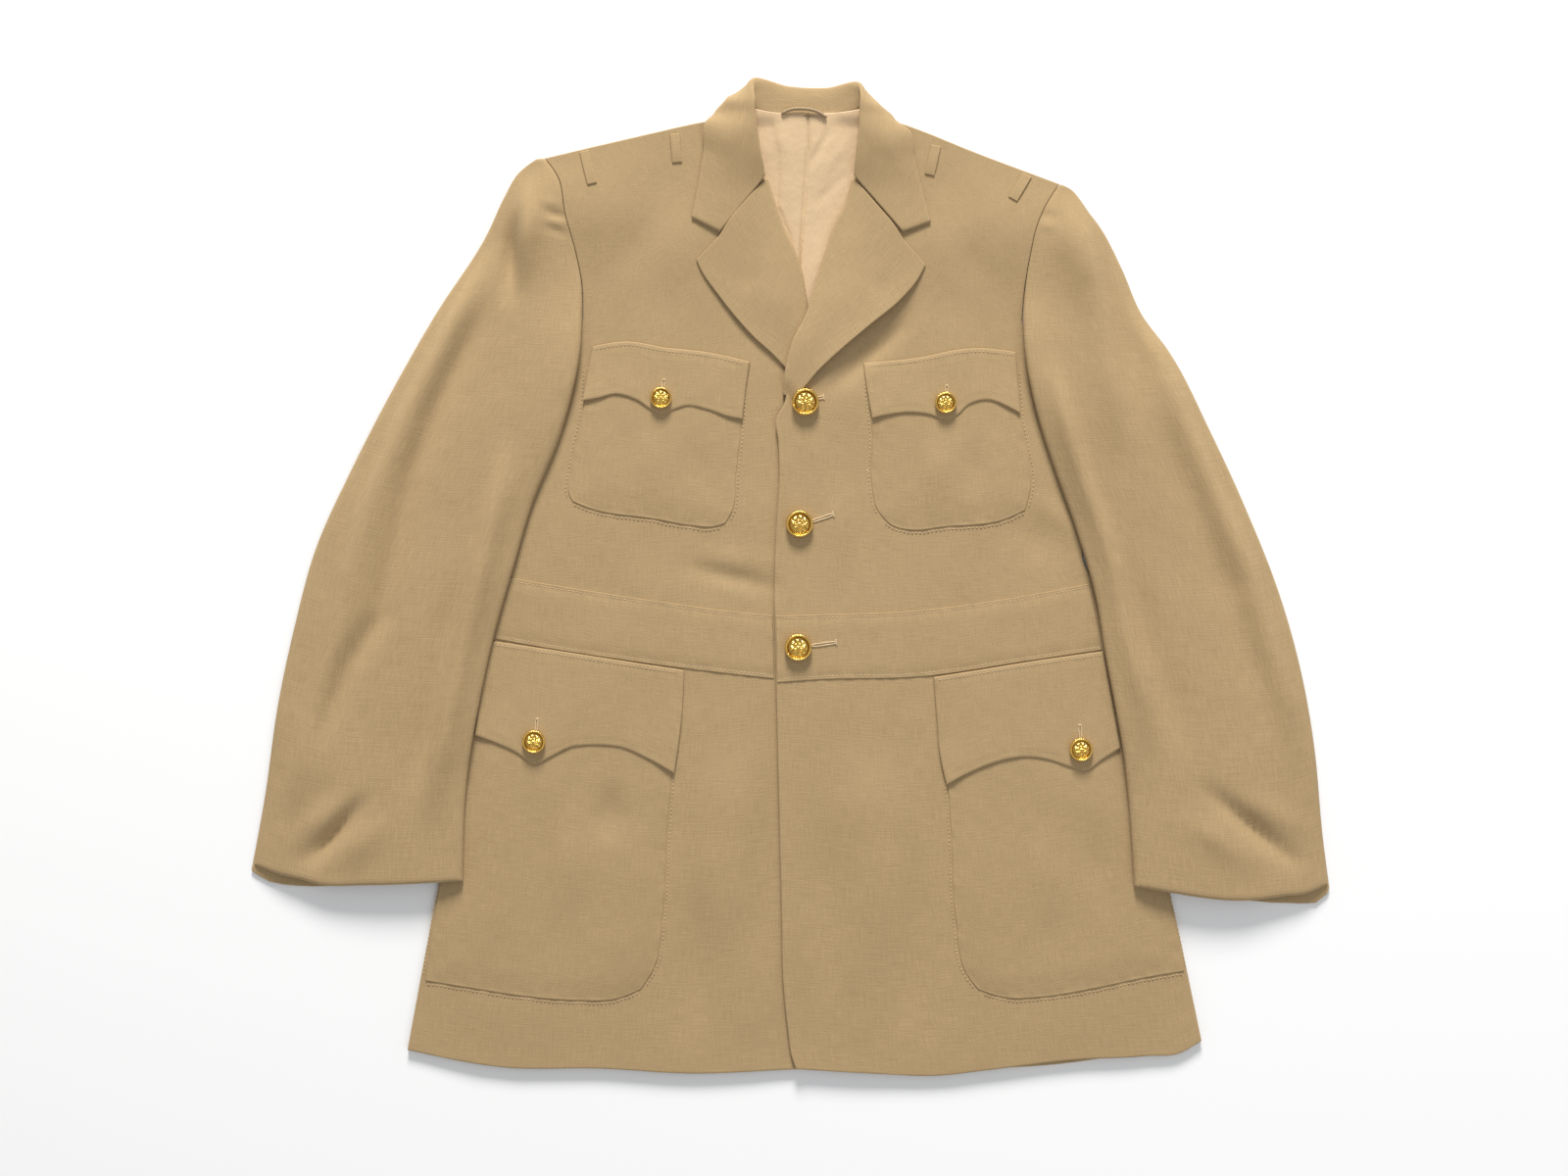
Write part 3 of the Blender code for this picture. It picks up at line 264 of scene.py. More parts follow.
# Creases along the sleeves and across their elbows and cuffs
SLEEVE_FOLDS = (
    Fold(((-213, 330), (-215, 285), (-219, 225)), 6, 0.8, -1.6),
    Fold(((-221, 308), (-226, 275), (-229, 215)), 7, -0.9),
    Fold(((-236, 280), (-262, 232), (-285, 188), (-312, 135), (-337, 75), (-359, 5), (-372, -60), (-384, -110),
          (-399, -160), (-412, -205)), 7, 0.95, -2.4),
    Fold(((-240, 240), (-262, 195), (-287, 140), (-307, 85), (-320, 25), (-333, -30), (-360, -72), (-382, -125),
          (-402, -180)), 9, -0.7),
    Fold(((-226, 120), (-240, 60), (-257, -20), (-270, -80), (-284, -140), (-298, -210)), 7, 1.0, -2.2),
    Fold(((-256, 40), (-280, -50), (-298, -140), (-316, -200)), 10, -0.4),
    Fold(((-341, -170), (-372, -210), (-402, -240)), 5.5, -0.95),
    Fold(((-326, -184), (-368, -243)), 10, 0.4),
    Fold(((-354, -168), (-412, -226)), 9, 0.4),
    Fold(((228, 322), (238, 270), (252, 215), (260, 160), (272, 90)), 7, 0.75, 2.2),
    Fold(((262, 280), (285, 240), (308, 181), (322, 134), (338, 88), (359, 41), (378, 1), (391, -52),
          (409, -99), (425, -165)), 6.5, 1.05, 2.6),
    Fold(((296, 150), (322, 80), (344, 26), (370, -50), (396, -130)), 13, -0.4),
    Fold(((208, 190), (220, 140), (235, 82), (250, 41), (260, 10), (272, -46), (286, -99), (296, -150)),
         6.5, 1.05, 2.2),
    Fold(((262, 40), (285, -30), (312, -110), (330, -165)), 14, -0.45),
    Fold(((326, -160), (366, -194), (398, -222), (426, -244)), 6.5, -0.9),
    Fold(((312, -186), (350, -214), (384, -244)), 11, 0.35),
    Fold(((368, -170), (424, -216)), 9, 0.3),
)
# Puckers where the sleeves' heads are eased into the armholes
HEAD_PUCKERS = (
    Fold(((-204, 299), (-190, 295), (-176, 293)), 2.6, -1.5),
    Fold(((-202, 292), (-178, 286)), 2.8, 1.1),
    Fold(((-206, 286), (-190, 282), (-176, 276)), 2.6, -1.0),
    Fold(((-208, 308), (-182, 302)), 3.6, 0.8),
    Fold(((-200, 320), (-192, 300), (-188, 268), (-184, 235)), 4.5, -0.7),
    Fold(((196, 298), (222, 291)), 3, -0.8),
    Fold(((196, 288), (220, 283)), 3, 0.6),
    Fold(((208, 312), (205, 290), (203, 255)), 4.5, -0.7),
)
# Slight swells of the lapels
LAPEL_FOLDS = (
    Fold(((-30, 250), (-12, 205)), 12, 0.5),
    Fold(((-50, 262), (-30, 230)), 9, -0.4),
    Fold(((70, 262), (40, 205)), 12, 0.6),
    Fold(((88, 250), (62, 222)), 9, -0.5),
    Fold(((45, 285), (55, 255)), 10, 0.4),
)
# The lining's pleat, centre seam and creases
LINING_FOLDS = (
    Fold(((-20, 404), (-16, 372), (-10, 347), (-10, 324), (-11, 303), (-4, 287), (5, 262), (8, 240)),
         2.0, -0.8, 4.5),
    Fold(((-1, 392), (-2, 350), (0, 310), (4, 270)), 5, 0.35),
    Fold(((13, 425), (15, 352), (11, 300), (6, 240), (4, 190)), 1.2, -1.3),
    Fold(((8, 322), (17, 339), (27, 357), (38, 380)), 2.4, -0.6, 2.0),
    Fold(((22, 318), (32, 336), (50, 362)), 4, 0.3),
    Fold(((12, 300), (28, 312), (52, 338)), 4, -0.3),
    Fold(((26, 300), (22, 262), (16, 220)), 6, 0.4),
)

Wave = namedtuple("Wave", "length turn phase height")
# Slight waves all over the cloth: length, direction in degrees, phase and height
WAVES = (
    Wave(148, 24, 0.4, 0.28),
    Wave(97, 118, 2.1, 0.20),
    Wave(61, 71, 4.4, 0.13),
    Wave(43, 12, 1.3, 0.08),
    Wave(29, 143, 3.2, 0.05),
    Wave(19, 64, 5.1, 0.028),
    Wave(13.5, 101, 0.9, 0.018),
)

Button = namedtuple("Button", "name x y diameter turn")
BUTTONS = (
    Button("button_front_1", 12.1, 143.3, 22.2, 12),
    Button("button_front_2", 7.4, 44.4, 22.2, -8),
    Button("button_front_3", 6.3, -55.9, 22.2, 5),
    Button("button_chest_right", -105.2, 146.8, 17.6, 0),
    Button("button_chest_left", 126, 142.8, 17.6, 22),
    Button("button_skirt_right", -208.4, -132.4, 19.0, 10),
    Button("button_skirt_left", 236, -138.8, 19.0, -15),
)

# A button's section from the middle of its back to its face, as shares of its radius
BUTTON_SIDE = ((0.001, 0.0), (0.60, 0.0), (0.86, 0.02), (0.95, 0.07), (0.98, 0.16), (0.985, 0.24),
               (0.96, 0.31), (0.90, 0.35), (0.84, 0.34), (0.80, 0.24))
PETALS = 8
ROPE_STRANDS = 34

# Bright bumps where a button's rim catches the light
Claw = namedtuple("Claw", "button degrees")
CLAWS = (
    Claw("button_front_1", 200), Claw("button_front_1", 250), Claw("button_front_1", 300),
    Claw("button_front_3", 215), Claw("button_front_3", 240),
)

Slit = namedtuple("Slit", "name x0 y0 x1 y1 bar")
BUTTONHOLES = (
    Slit("buttonhole_front_1", 22, 146.5, 27, 147.5, 5.5),
    Slit("buttonhole_front_2", 17.5, 46.4, 34.8, 52.2, 5.5),
    Slit("buttonhole_front_3", 17.0, -54.6, 37.2, -51.8, 5.5),
    Slit("buttonhole_chest_right", -103.6, 154, -102.6, 162, 2.4),
    Slit("buttonhole_chest_left", 127, 150, 127.3, 157, 2.4),
    Slit("buttonhole_skirt_right", -206.5, -124, -206.0, -114, 3.0),
    Slit("buttonhole_skirt_left", 236, -130, 235.2, -119, 3.0),
)

Bar = namedtuple("Bar", "name top_x top_y low_x low_y width")
SHOULDER_LOOPS = (
    Bar("shoulder_loop_right_outer", -167.5, 347.5, -161, 320.5, 8),
    Bar("shoulder_loop_right_inner", -94, 361.5, -92, 338, 8),
    Bar("shoulder_loop_left_inner", 118.5, 352, 113, 328, 8),
    Bar("shoulder_loop_left_outer", 192.5, 328, 180.5, 308, 8),
)
HANGER_LOOP = ((-7.5, 377.5, 8.2), (-2, 380.5, 8.6), (10, 381.8, 9.0), (22, 379.4, 8.9), (29.5, 374.5, 8.6))
HANGER_RADIUS = 1.4
# How far rows of stitches run inside an edge
BELT_STITCHES = 2.6
FLAP_STITCHES = 3.0
POCKET_STITCHES = 2.2
# Faces of one stitch: three rings of four points, and its two ends
STITCH_FACES = ((0, 4, 5, 1), (1, 5, 6, 2), (2, 6, 7, 3), (3, 7, 4, 0), (4, 8, 9, 5), (5, 9, 10, 6),
                (6, 10, 11, 7), (7, 11, 8, 4), (0, 1, 2, 3), (8, 11, 10, 9))

# Half the floor's width and its level, in mm
FLOOR_REACH = 4000
FLOOR_LEVEL = -0.6
# Lamps in metres and watts: a strong one beyond the collar and a weak one on the hem's side
Lamp = namedtuple("Lamp", "name place size power colour")
LAMPS = (
    Lamp("key", (-0.1, 4.25, 1.9), 1.4, 304.0, (1.0, 0.985, 0.96)),
    Lamp("fill", (1.7, -1.5, 2.6), 2.4, 17.0, (0.96, 0.98, 1.0)),
)
SKY_COLOUR = (0.97, 0.985, 1.0, 1.0)
SKY_STRENGTH = 0.42
# The camera's place in metres, and its lens and sensor in mm
CAMERA_PLACE = (-0.0052, -0.0076, 1.9)
CAMERA_LENS = 53.44
CAMERA_SENSOR = 36.0


def measure(name, description, default, low, high):
    return bpy.props.FloatProperty(name=name, description=description, default=default, min=low, max=high)


def shade(name, description, default):
    return bpy.props.FloatVectorProperty(name=name, description=description, default=default, subtype="COLOR",
                                         size=3, min=0, max=1)


class JacketSizes(bpy.types.PropertyGroup):
    """Sizes of the cloth's grids, walls and stitches."""
    grid: measure("Grid", "Distance between grid lines on a panel, in mm", 3.0, 1.5, 10)
    fine_grid: measure("Fine grid", "The same on flaps, pockets and collar, in mm", 2.4, 1.0, 8)
    body_wall: measure("Body cloth", "Thickness of the panels, in mm", 1.5, 0.5, 3)
    flap_wall: measure("Flaps", "Thickness of flaps and lapels, in mm", 1.2, 0.5, 3)
    pocket_wall: measure("Pockets", "Thickness of the patch pockets, in mm", 0.55, 0.4, 3)
    stitch: measure("Stitch", "Length of one stitch, in mm", 2.0, 0.5, 5)
    stitch_gap: measure("Stitch gap", "Space between stitches, in mm", 1.3, 0.2, 5)
    sleeve_crown: measure("Sleeve crown", "Extra roundness of a sleeve, in mm", 4.5, 0, 8)
    front_crease: measure("Body creases", "Strength of the fronts' creases", 2.4, 0, 6)
    sleeve_crease: measure("Sleeve creases", "Strength of the sleeves' creases", 7.8, 0, 9)


class JacketColours(bpy.types.PropertyGroup):
    """Colours of the cloth, metal, thread and floor."""
    wool: shade("Wool", "Khaki of the coat", (0.448, 0.314, 0.163))
    lining: shade("Lining", "Champagne of the lining", (0.68, 0.485, 0.285))
    gilt: shade("Gilt", "Gilt of the buttons", (0.93, 0.62, 0.16))
    thread: shade("Thread", "Light stitching thread", (0.66, 0.50, 0.30))
    cord: shade("Hanger cord", "Brown of the hanger loop", (0.36, 0.25, 0.14))
    floor: shade("Floor", "Pale surface", (0.99, 0.99, 0.99))


def sizes():
    return bpy.context.scene.jacket_sizes


def colours():
    return bpy.context.scene.jacket_colours


def ease(share):
    """A step from 0 to 1 with level ends: 3 s squared minus 2 s cubed."""
    held = np.clip(share, 0.0, 1.0)
    return held * held * (3.0 - 2.0 * held)


Line = namedtuple("Line", "points shares")


def smooth_points(rows, per_span=24):
    """Dense points through the rows: a cubic span between each two, with chord-length tangents."""
    rows = np.array(rows, dtype=float)
    if len(rows) == 2:
        return rows
    chord = np.maximum(np.linalg.norm(np.diff(rows, axis=0), axis=1), 1e-9)
    slope = np.diff(rows, axis=0) / chord[:, None]
    tangent = np.empty_like(rows)
    weight = (chord[1:] / (chord[:-1] + chord[1:]))[:, None]
    tangent[1:-1] = slope[:-1] * weight + slope[1:] * (1.0 - weight)
    tangent[0] = 1.5 * slope[0] - 0.5 * tangent[1]
    tangent[-1] = 1.5 * slope[-1] - 0.5 * tangent[-2]
    share = np.linspace(0.0, 1.0, per_span, endpoint=False)[None, :, None]
    square = share * share
    cube = square * share
    start, end = rows[:-1, None, :], rows[1:, None, :]
    leave, arrive = (tangent[:-1] * chord[:, None])[:, None, :], (tangent[1:] * chord[:, None])[:, None, :]
    fine = ((2 * cube - 3 * square + 1) * start + (3 * square - 2 * cube) * end
            + (cube - 2 * square + share) * leave + (cube - square) * arrive)
    return np.vstack([fine.reshape(-1, rows.shape[1]), rows[-1:]])


def chain(*stretches):
    """A line through several stretches, each a pair of its rows and its part of the whole."""
    points, shares = [], []
    whole = sum(part for _, part in stretches)
    done = 0.0
    for rows, part in stretches:
        dense = smooth_points(rows)
        run = np.concatenate([[0.0], np.cumsum(np.linalg.norm(np.diff(dense, axis=0), axis=1))])
        skip = 1 if points else 0
        points.append(dense[skip:])
        shares.append(((done + part * run / run[-1]) / whole)[skip:])
        done += part
    return Line(np.vstack(points), np.concatenate(shares))


def smooth_line(rows):
    return chain((rows, 1))


def length_of(line):
    return float(np.sum(np.linalg.norm(np.diff(line.points, axis=0), axis=1)))


def at_shares(line, shares):
    """Points at the given shares of the line."""
    columns = range(line.points.shape[1])
    return np.stack([np.interp(shares, line.shares, line.points[:, column]) for column in columns], axis=1)


def edge_shares(length, step):
    """Shares of a length for grid lines: close together at both edges and a step apart between them."""
    margin = np.array([0.0, 0.3, 0.8, 1.6, 2.8])
    inner = np.linspace(margin[-1], length - margin[-1], max(3, int(round(length / step))))
    return np.concatenate([margin[:-1], inner, length - margin[-2::-1]]) / length


class Grid:
    """A sheet's grid: its plan, its shares across and down, and each point's distance from its edges."""

    def __init__(self, top, bottom, outer, inner, step):
        self.width = (length_of(top) + length_of(bottom)) / 2
        self.height = (length_of(outer) + length_of(inner)) / 2
        self.across = edge_shares(max(self.width, 8), step)
        self.down = edge_shares(max(self.height, 8), step)
        across = self.across[None, :, None]
        down = self.down[:, None, None]
        tops, bottoms = at_shares(top, self.across), at_shares(bottom, self.across)
        outers, inners = at_shares(outer, self.down), at_shares(inner, self.down)
        corners = ((1 - across) * (1 - down) * tops[0] + across * (1 - down) * tops[-1]
                   + (1 - across) * down * bottoms[0] + across * down * bottoms[-1])
        self.plan = ((1 - down) * tops[None] + down * bottoms[None]
                     + (1 - across) * outers[:, None] + across * inners[:, None] - corners)
        self.side_distance = np.minimum(self.across, 1 - self.across)[None, :] * self.width
        self.end_distance = np.minimum(self.down, 1 - self.down)[:, None] * self.height
        self.edge_distance = np.minimum(self.side_distance, self.end_distance)


def grid_of(patch, step):
    return Grid(*(smooth_line(getattr(patch, side)) for side in ("top", "bottom", "outer", "inner")), step)


def blurred(field, passes):
    """The field after so many rounds of a 1-2-1 average each way, with its borders repeated."""
    for _ in range(passes):
        padded = np.pad(field, 1, mode="edge")
        field = (padded[:-2, 1:-1] + 2 * padded[1:-1, 1:-1] + padded[2:, 1:-1]) / 4
        padded = np.pad(field, 1, mode="edge")
        field = (padded[1:-1, :-2] + 2 * padded[1:-1, 1:-1] + padded[1:-1, 2:]) / 4
    return field


def folds_at(plan, folds):
    """Sum of soft creases: a bell across each line, full height along it and fading out at its ends."""
    total = np.zeros(plan.shape[:-1])
    for fold in folds:
        points = np.array(fold.path, dtype=float)
        runs = np.diff(points, axis=0)
        lengths = np.linalg.norm(runs, axis=1)
        done = np.cumsum(lengths) - lengths
        nearest = np.full(plan.shape[:-1], np.inf)
        place = np.zeros(plan.shape[:-1])
        turn = np.zeros(plan.shape[:-1])
        for start, run, length, before in zip(points, runs, lengths, done):
            along = np.clip(((plan - start) @ run) / length ** 2, 0.0, 1.0)
            offset = plan - (start + along[..., None] * run)
            away = np.linalg.norm(offset, axis=-1)
            closer = away < nearest
            nearest = np.where(closer, away, nearest)
            place = np.where(closer, before + along * length, place)
            turn = np.where(closer, run[0] * offset[..., 1] - run[1] * offset[..., 0], turn)
        share = place / lengths.sum()
        reach = min(0.5, FOLD_FADE / lengths.sum())
        width = fold.width * np.where(turn * fold.lean < 0, abs(fold.lean), 1.0)
        total += fold.height * np.exp(-((nearest / width) ** 2)) * ease(np.minimum(share, 1 - share) / reach)
    return total


def node_top(name, plan):
    """Height of the frame node's upper faces over each plan point, in mm, by barycentric shares."""
    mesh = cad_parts[name].data
    corners = np.empty(len(mesh.vertices) * 3)
    mesh.vertices.foreach_get("co", corners)
    corners = corners.reshape(-1, 3) / MM
    mesh.calc_loop_triangles()
    triangles = np.empty(len(mesh.loop_triangles) * 3, dtype=int)
    mesh.loop_triangles.foreach_get("vertices", triangles)
    a, b, c = (corners[triangles.reshape(-1, 3)[:, corner]] for corner in range(3))
    turn = (b[:, 0] - a[:, 0]) * (c[:, 1] - a[:, 1]) - (b[:, 1] - a[:, 1]) * (c[:, 0] - a[:, 0])
    up = turn > 1e-3
    a, b, c, turn = a[up], b[up], c[up], turn[up]
    points = plan.reshape(-1, 2)
    height = np.full(len(points), np.nan)
    batch = 4096
    for start in range(0, len(points), batch):
        rows = slice(start, start + batch)
        x = points[rows, 0][:, None]
        y = points[rows, 1][:, None]
        to_b = ((x - a[:, 0]) * (c[:, 1] - a[:, 1]) - (y - a[:, 1]) * (c[:, 0] - a[:, 0])) / turn
        to_c = ((b[:, 0] - a[:, 0]) * (y - a[:, 1]) - (b[:, 1] - a[:, 1]) * (x - a[:, 0])) / turn
        inside = (to_b > -1e-4) & (to_c > -1e-4) & (to_b + to_c < 1.0001)
        level = a[:, 2] + to_b * (b[:, 2] - a[:, 2]) + to_c * (c[:, 2] - a[:, 2])
        level = np.where(inside, level, -np.inf).max(axis=1)
        height[rows] = np.where(np.isfinite(level), level, np.nan)
    return filled(height.reshape(plan.shape[:2]))


def filled(field):
    """Empty points take the mean of their filled neighbours, round by round."""
    while np.isnan(field).any():
        padded = np.pad(field, 1, constant_values=np.nan)
        around = np.stack([padded[:-2, 1:-1], padded[2:, 1:-1], padded[1:-1, :-2], padded[1:-1, 2:]])
        known = ~np.isnan(around)
        total = np.where(known, around, 0.0).sum(axis=0)
        count = known.sum(axis=0)
        mean = np.where(count > 0, total / np.maximum(count, 1), np.nan)
        field = np.where(np.isnan(field), mean, field)
    return field


class Field:
    """A CAD node's top heights on square cells, smoothed, to read at any point in plan."""
    cell = 4.0
    margin = 24.0

    def __init__(self, name, spread):
        low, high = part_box(name)
        self.low = np.array((low.x, low.y)) / MM - self.margin
        reach = np.array((high.x, high.y)) / MM + self.margin
        columns, rows = (int(size / self.cell) + 2 for size in reach - self.low)
        x = self.low[0] + self.cell * np.arange(columns)
        y = self.low[1] + self.cell * np.arange(rows)
        plan = np.stack(np.meshgrid(x, y, indexing="ij"), axis=-1)
        self.height = blurred(node_top(name, plan), int(round(2 * (spread / self.cell) ** 2)))

    def at(self, plan):
        """Height at each plan point, between the four cells round it."""
        place = (plan - self.low) / self.cell
        limit = np.array(self.height.shape) - 1.001
        place = np.clip(place, 0, limit)
        cell = place.astype(int)
        part = place - cell
        column, row = cell[..., 0], cell[..., 1]
        x_part, y_part = part[..., 0], part[..., 1]
        left = (1 - y_part) * self.height[column, row] + y_part * self.height[column, row + 1]
        right = (1 - y_part) * self.height[column + 1, row] + y_part * self.height[column + 1, row + 1]
        return (1 - x_part) * left + x_part * right


fields = {}
tops = {}


def top_of(name, plan, spread=8.0):
    """Smoothed height of a CAD node's top."""
    if name not in fields:
        fields[name] = Field(name, spread)
    return fields[name].at(plan)


def unevenness(plan):
    """Slight waves of cloth that was laid down by hand, long ones and short ones in uneven directions."""
    total = np.zeros(plan.shape[:-1])
    for wave in WAVES:
        turn = math.radians(wave.turn)
        along = (plan[..., 0] * math.cos(turn) + plan[..., 1] * math.sin(turn)) / wave.length
        across = (plan[..., 1] * math.cos(turn) - plan[..., 0] * math.sin(turn)) / wave.length
        bend = np.sin(1.7 * across + wave.phase)
        swing = np.sin(2 * math.pi * along + wave.phase + bend)
        total += 0.7 * wave.height * swing * (0.6 + 0.4 * np.sin(0.9 * across))
    return total


def body_top(side, plan):
    """Height of a front's cloth, creases and all, which everything sewn on it follows."""
    creases = sizes().front_crease * folds_at(plan, FRONT_FOLDS)
    height = top_of("front_" + side, plan) + creases + unevenness(plan)
    if side == "left":
        edge = np.array(FRONT_EDGE["left"][::-1])
        from_edge = plan[..., 0] - np.interp(plan[..., 1], edge[:, 1], edge[:, 0])
        height += 0.9 * np.exp(-((from_edge / 6) ** 2)) * ease((150 - plan[..., 1]) / 20)
    return height


def lapped_top(side, plan):
    """Height of a front's cloth, the left one raised over the right one and let down past its edge."""
    height = body_top(side, plan)
    if side == "left":
        clear = body_top("right", plan) + sizes().body_wall + CLEARANCE
        share = ease((RIGHT_EDGE + LAP_FADE - plan[..., 0]) / LAP_FADE)
        height = height + share * np.maximum(clear - height, 0.0)
    return height


def surface_height(name, spots):
    """Height of a made piece at each spot: its nearest grid point's."""
    points = tops[name].reshape(-1, 3)
    away = ((spots[:, None, :] - points[None, :, :2]) ** 2).sum(axis=2)
    return points[away.argmin(axis=1), 2]


def rounding(distance, radius):
    """Drop of a rounded edge: nothing past the radius, all of it at the edge, a quarter circle between."""
    share = np.clip(1 - distance / radius, 0.0, 1.0)
    return radius * (1 - np.sqrt(np.maximum(1 - share * share, 0.0)))


def with_height(plan, height):
    return np.concatenate([plan, height[..., None]], axis=2)


def mesh_object(name, points, quads, uv=None, look=None):
    """A mesh from points in mm and quads, with UVs in metres for each point."""
    mesh = bpy.data.meshes.new(name)
    mesh.vertices.add(len(points))
    mesh.vertices.foreach_set("co", (points * MM).astype(np.float32).ravel())
    mesh.loops.add(quads.size)
    mesh.loops.foreach_set("vertex_index", quads.astype(np.int32).ravel())
    mesh.polygons.add(len(quads))
    mesh.polygons.foreach_set("loop_start", np.arange(0, quads.size, quads.shape[1], dtype=np.int32))
    mesh.polygons.foreach_set("use_smooth", np.ones(len(quads), dtype=bool))
    if uv is not None:
        layer = mesh.uv_layers.new(name="cloth")
        layer.data.foreach_set("uv", uv[quads.ravel()].astype(np.float32).ravel())
    mesh.update(calc_edges=True)
    mesh.validate()
    if look:
        mesh.materials.append(look)
    piece = bpy.data.objects.new(name, mesh)
    bpy.context.scene.collection.objects.link(piece)
    return piece


def shell(name, upper, lower, uv, look):
    """A closed wall between two grids: upper faces, lower faces and a strip round the rim, all facing out."""
    rows, columns = upper.shape[:2]
    count = rows * columns
    index = np.arange(count).reshape(rows, columns)
    ring = np.stack([index[:-1, :-1], index[:-1, 1:], index[1:, 1:], index[1:, :-1]], axis=-1).reshape(-1, 4)
    rim = np.concatenate([index[0], index[1:, -1], index[-1, -2::-1], index[-2:0:-1, 0]])
    after = np.roll(rim, -1)
    quads = np.vstack([ring, ring[:, ::-1] + count, np.stack([after, rim, rim + count, after + count], axis=1)])
    across = upper[rows // 2, columns // 2 + 1] - upper[rows // 2, columns // 2]
    down = upper[rows // 2 + 1, columns // 2] - upper[rows // 2, columns // 2]
    out = upper[rows // 2, columns // 2] - lower[rows // 2, columns // 2]
    if np.dot(np.cross(across, down), out) < 0:
        quads = quads[:, ::-1]
    points = np.vstack([upper.reshape(-1, 3), lower.reshape(-1, 3)])
    return mesh_object(name, points, quads, np.vstack([uv.reshape(-1, 2)] * 2), look)


def uv_of(grid):
    """UVs in metres: across the sheet and down it."""
    across = np.broadcast_to(grid.across[None, :] * grid.width, grid.plan.shape[:2])
    down = np.broadcast_to(grid.down[:, None] * grid.height, grid.plan.shape[:2])
    return np.stack([across, down], axis=-1) * MM


def declare(piece, surface, node):
    """Rides and replaces a laid sheet, and measures the surface's longest grid line."""
    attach(piece, "root")
    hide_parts(node)
    width = float(np.linalg.norm(np.diff(surface, axis=1), axis=2).sum(axis=1).max()) * MM
    if width < SMALLEST_CUT:
        return


def lay_sheet(node, grid, top, wall, slot="khaki_wool", round_edge=None):
    """A closed sheet that stands for the node: under the given top heights, with rounded edges."""
    radius = wall * EDGE_ROUNDING if round_edge is None else round_edge
    upper_z = top - rounding(grid.edge_distance, radius)
    lower_z = np.maximum(np.minimum(top - wall, upper_z - 0.35 * wall), 0.02)
    upper_z = np.maximum(upper_z, lower_z + 0.1)
    name = node + "_cloth"
    tops[name] = with_height(grid.plan, upper_z)
    piece = shell(name, tops[name], with_height(grid.plan, lower_z), uv_of(grid), look_of(slot))
    declare(piece, with_height(grid.plan, np.zeros_like(upper_z)), node)


def wall_between(node, middle, wall):
    """A closed sheet that stands for the node: half a wall to each side of a middle surface."""
    along = np.gradient(middle, axis=0)
    across = np.gradient(middle, axis=1)
    normal = np.cross(across, along)
    normal /= np.maximum(np.linalg.norm(normal, axis=2), 1e-9)[..., None]
    if normal[middle.shape[0] // 2, middle.shape[1] // 2, 2] < 0:
        normal = -normal
    wide = np.linalg.norm(np.diff(middle, axis=1), axis=2)
    run = np.concatenate([np.zeros((len(middle), 1)), np.cumsum(wide, axis=1)], axis=1)
    long = np.linalg.norm(np.diff(middle, axis=0), axis=2)
    fall = np.concatenate([np.zeros((1, middle.shape[1])), np.cumsum(long, axis=0)], axis=0)
    near = np.minimum(np.minimum(run, run[:, -1:] - run), np.minimum(fall, fall[-1:] - fall))
    share = np.clip(1 - near / (wall * EDGE_ROUNDING), 0.0, 1.0)
    half = (wall / 2 * np.sqrt(np.maximum(1 - share * share, 0.02)))[..., None]
    upper, lower = middle + normal * half, middle - normal * half
    lower[..., 2] = np.maximum(lower[..., 2], 0.05)
    upper[..., 2] = np.maximum(upper[..., 2], 0.15)
    name = node + "_cloth"
    tops[name] = upper
    piece = shell(name, upper, lower, np.stack([run, fall], axis=-1) * MM, look_of("khaki_wool"))
    declare(piece, middle, node)


def shader_of(look):
    return look.node_tree.nodes["Principled BSDF"]


def new_look(name, colour, roughness, metallic=0.0):
    look = bpy.data.materials.new(name)
    look.use_nodes = True
    shader = shader_of(look)
    shader.inputs["Base Color"].default_value = (*colour, 1.0)
    shader.inputs["Roughness"].default_value = roughness
    shader.inputs["Metallic"].default_value = metallic
    return look


def add_node(look, kind, **values):
    """A node of that kind, with its inputs set by name."""
    node = look.node_tree.nodes.new(kind)
    for key, value in values.items():
        node.inputs[key.replace("_", " ")].default_value = value
    return node


def coordinates(look, kind):
    return look.node_tree.nodes.new("ShaderNodeTexCoord").outputs[kind]


def stretched_noise(look, vector, stretch, scale=1.0, detail=2, roughness=0.5):
    """Noise drawn out along one direction: the vector scaled unevenly before it is read."""
    links = look.node_tree.links
    mapping = add_node(look, "ShaderNodeMapping", Scale=stretch)
    links.new(vector, mapping.inputs["Vector"])
    noise = add_node(look, "ShaderNodeTexNoise", Scale=scale, Detail=detail, Roughness=roughness)
    links.new(mapping.outputs["Vector"], noise.inputs["Vector"])
    return noise.outputs["Fac"]


def shaded(look, share, colour, value, low, high, dark, light):
    """The colour multiplied by so much of a ramp of the value: dark below low, light above high."""
    links = look.node_tree.links
    ramp = look.node_tree.nodes.new("ShaderNodeValToRGB")
    for stop, position, tone in zip(ramp.color_ramp.elements, (low, high), (dark, light)):
        stop.position = position
        stop.color = (*tone, 1.0)
    links.new(value, ramp.inputs["Fac"])
    mix = look.node_tree.nodes.new("ShaderNodeMix")
    mix.data_type = "RGBA"
    mix.blend_type = "MULTIPLY"
    mix.inputs[0].default_value = share
    if isinstance(colour, bpy.types.NodeSocket):
        links.new(colour, mix.inputs[6])
    else:
        mix.inputs[6].default_value = (*colour, 1.0)
    links.new(ramp.outputs["Color"], mix.inputs[7])
    return mix.outputs[2]


def bumped(look, height, strength, distance, below=None):
    bump = add_node(look, "ShaderNodeBump", Strength=strength, Distance=distance)
    links = look.node_tree.links
    links.new(height, bump.inputs["Height"])
    if below:
        links.new(below, bump.inputs["Normal"])
    return bump.outputs["Normal"]


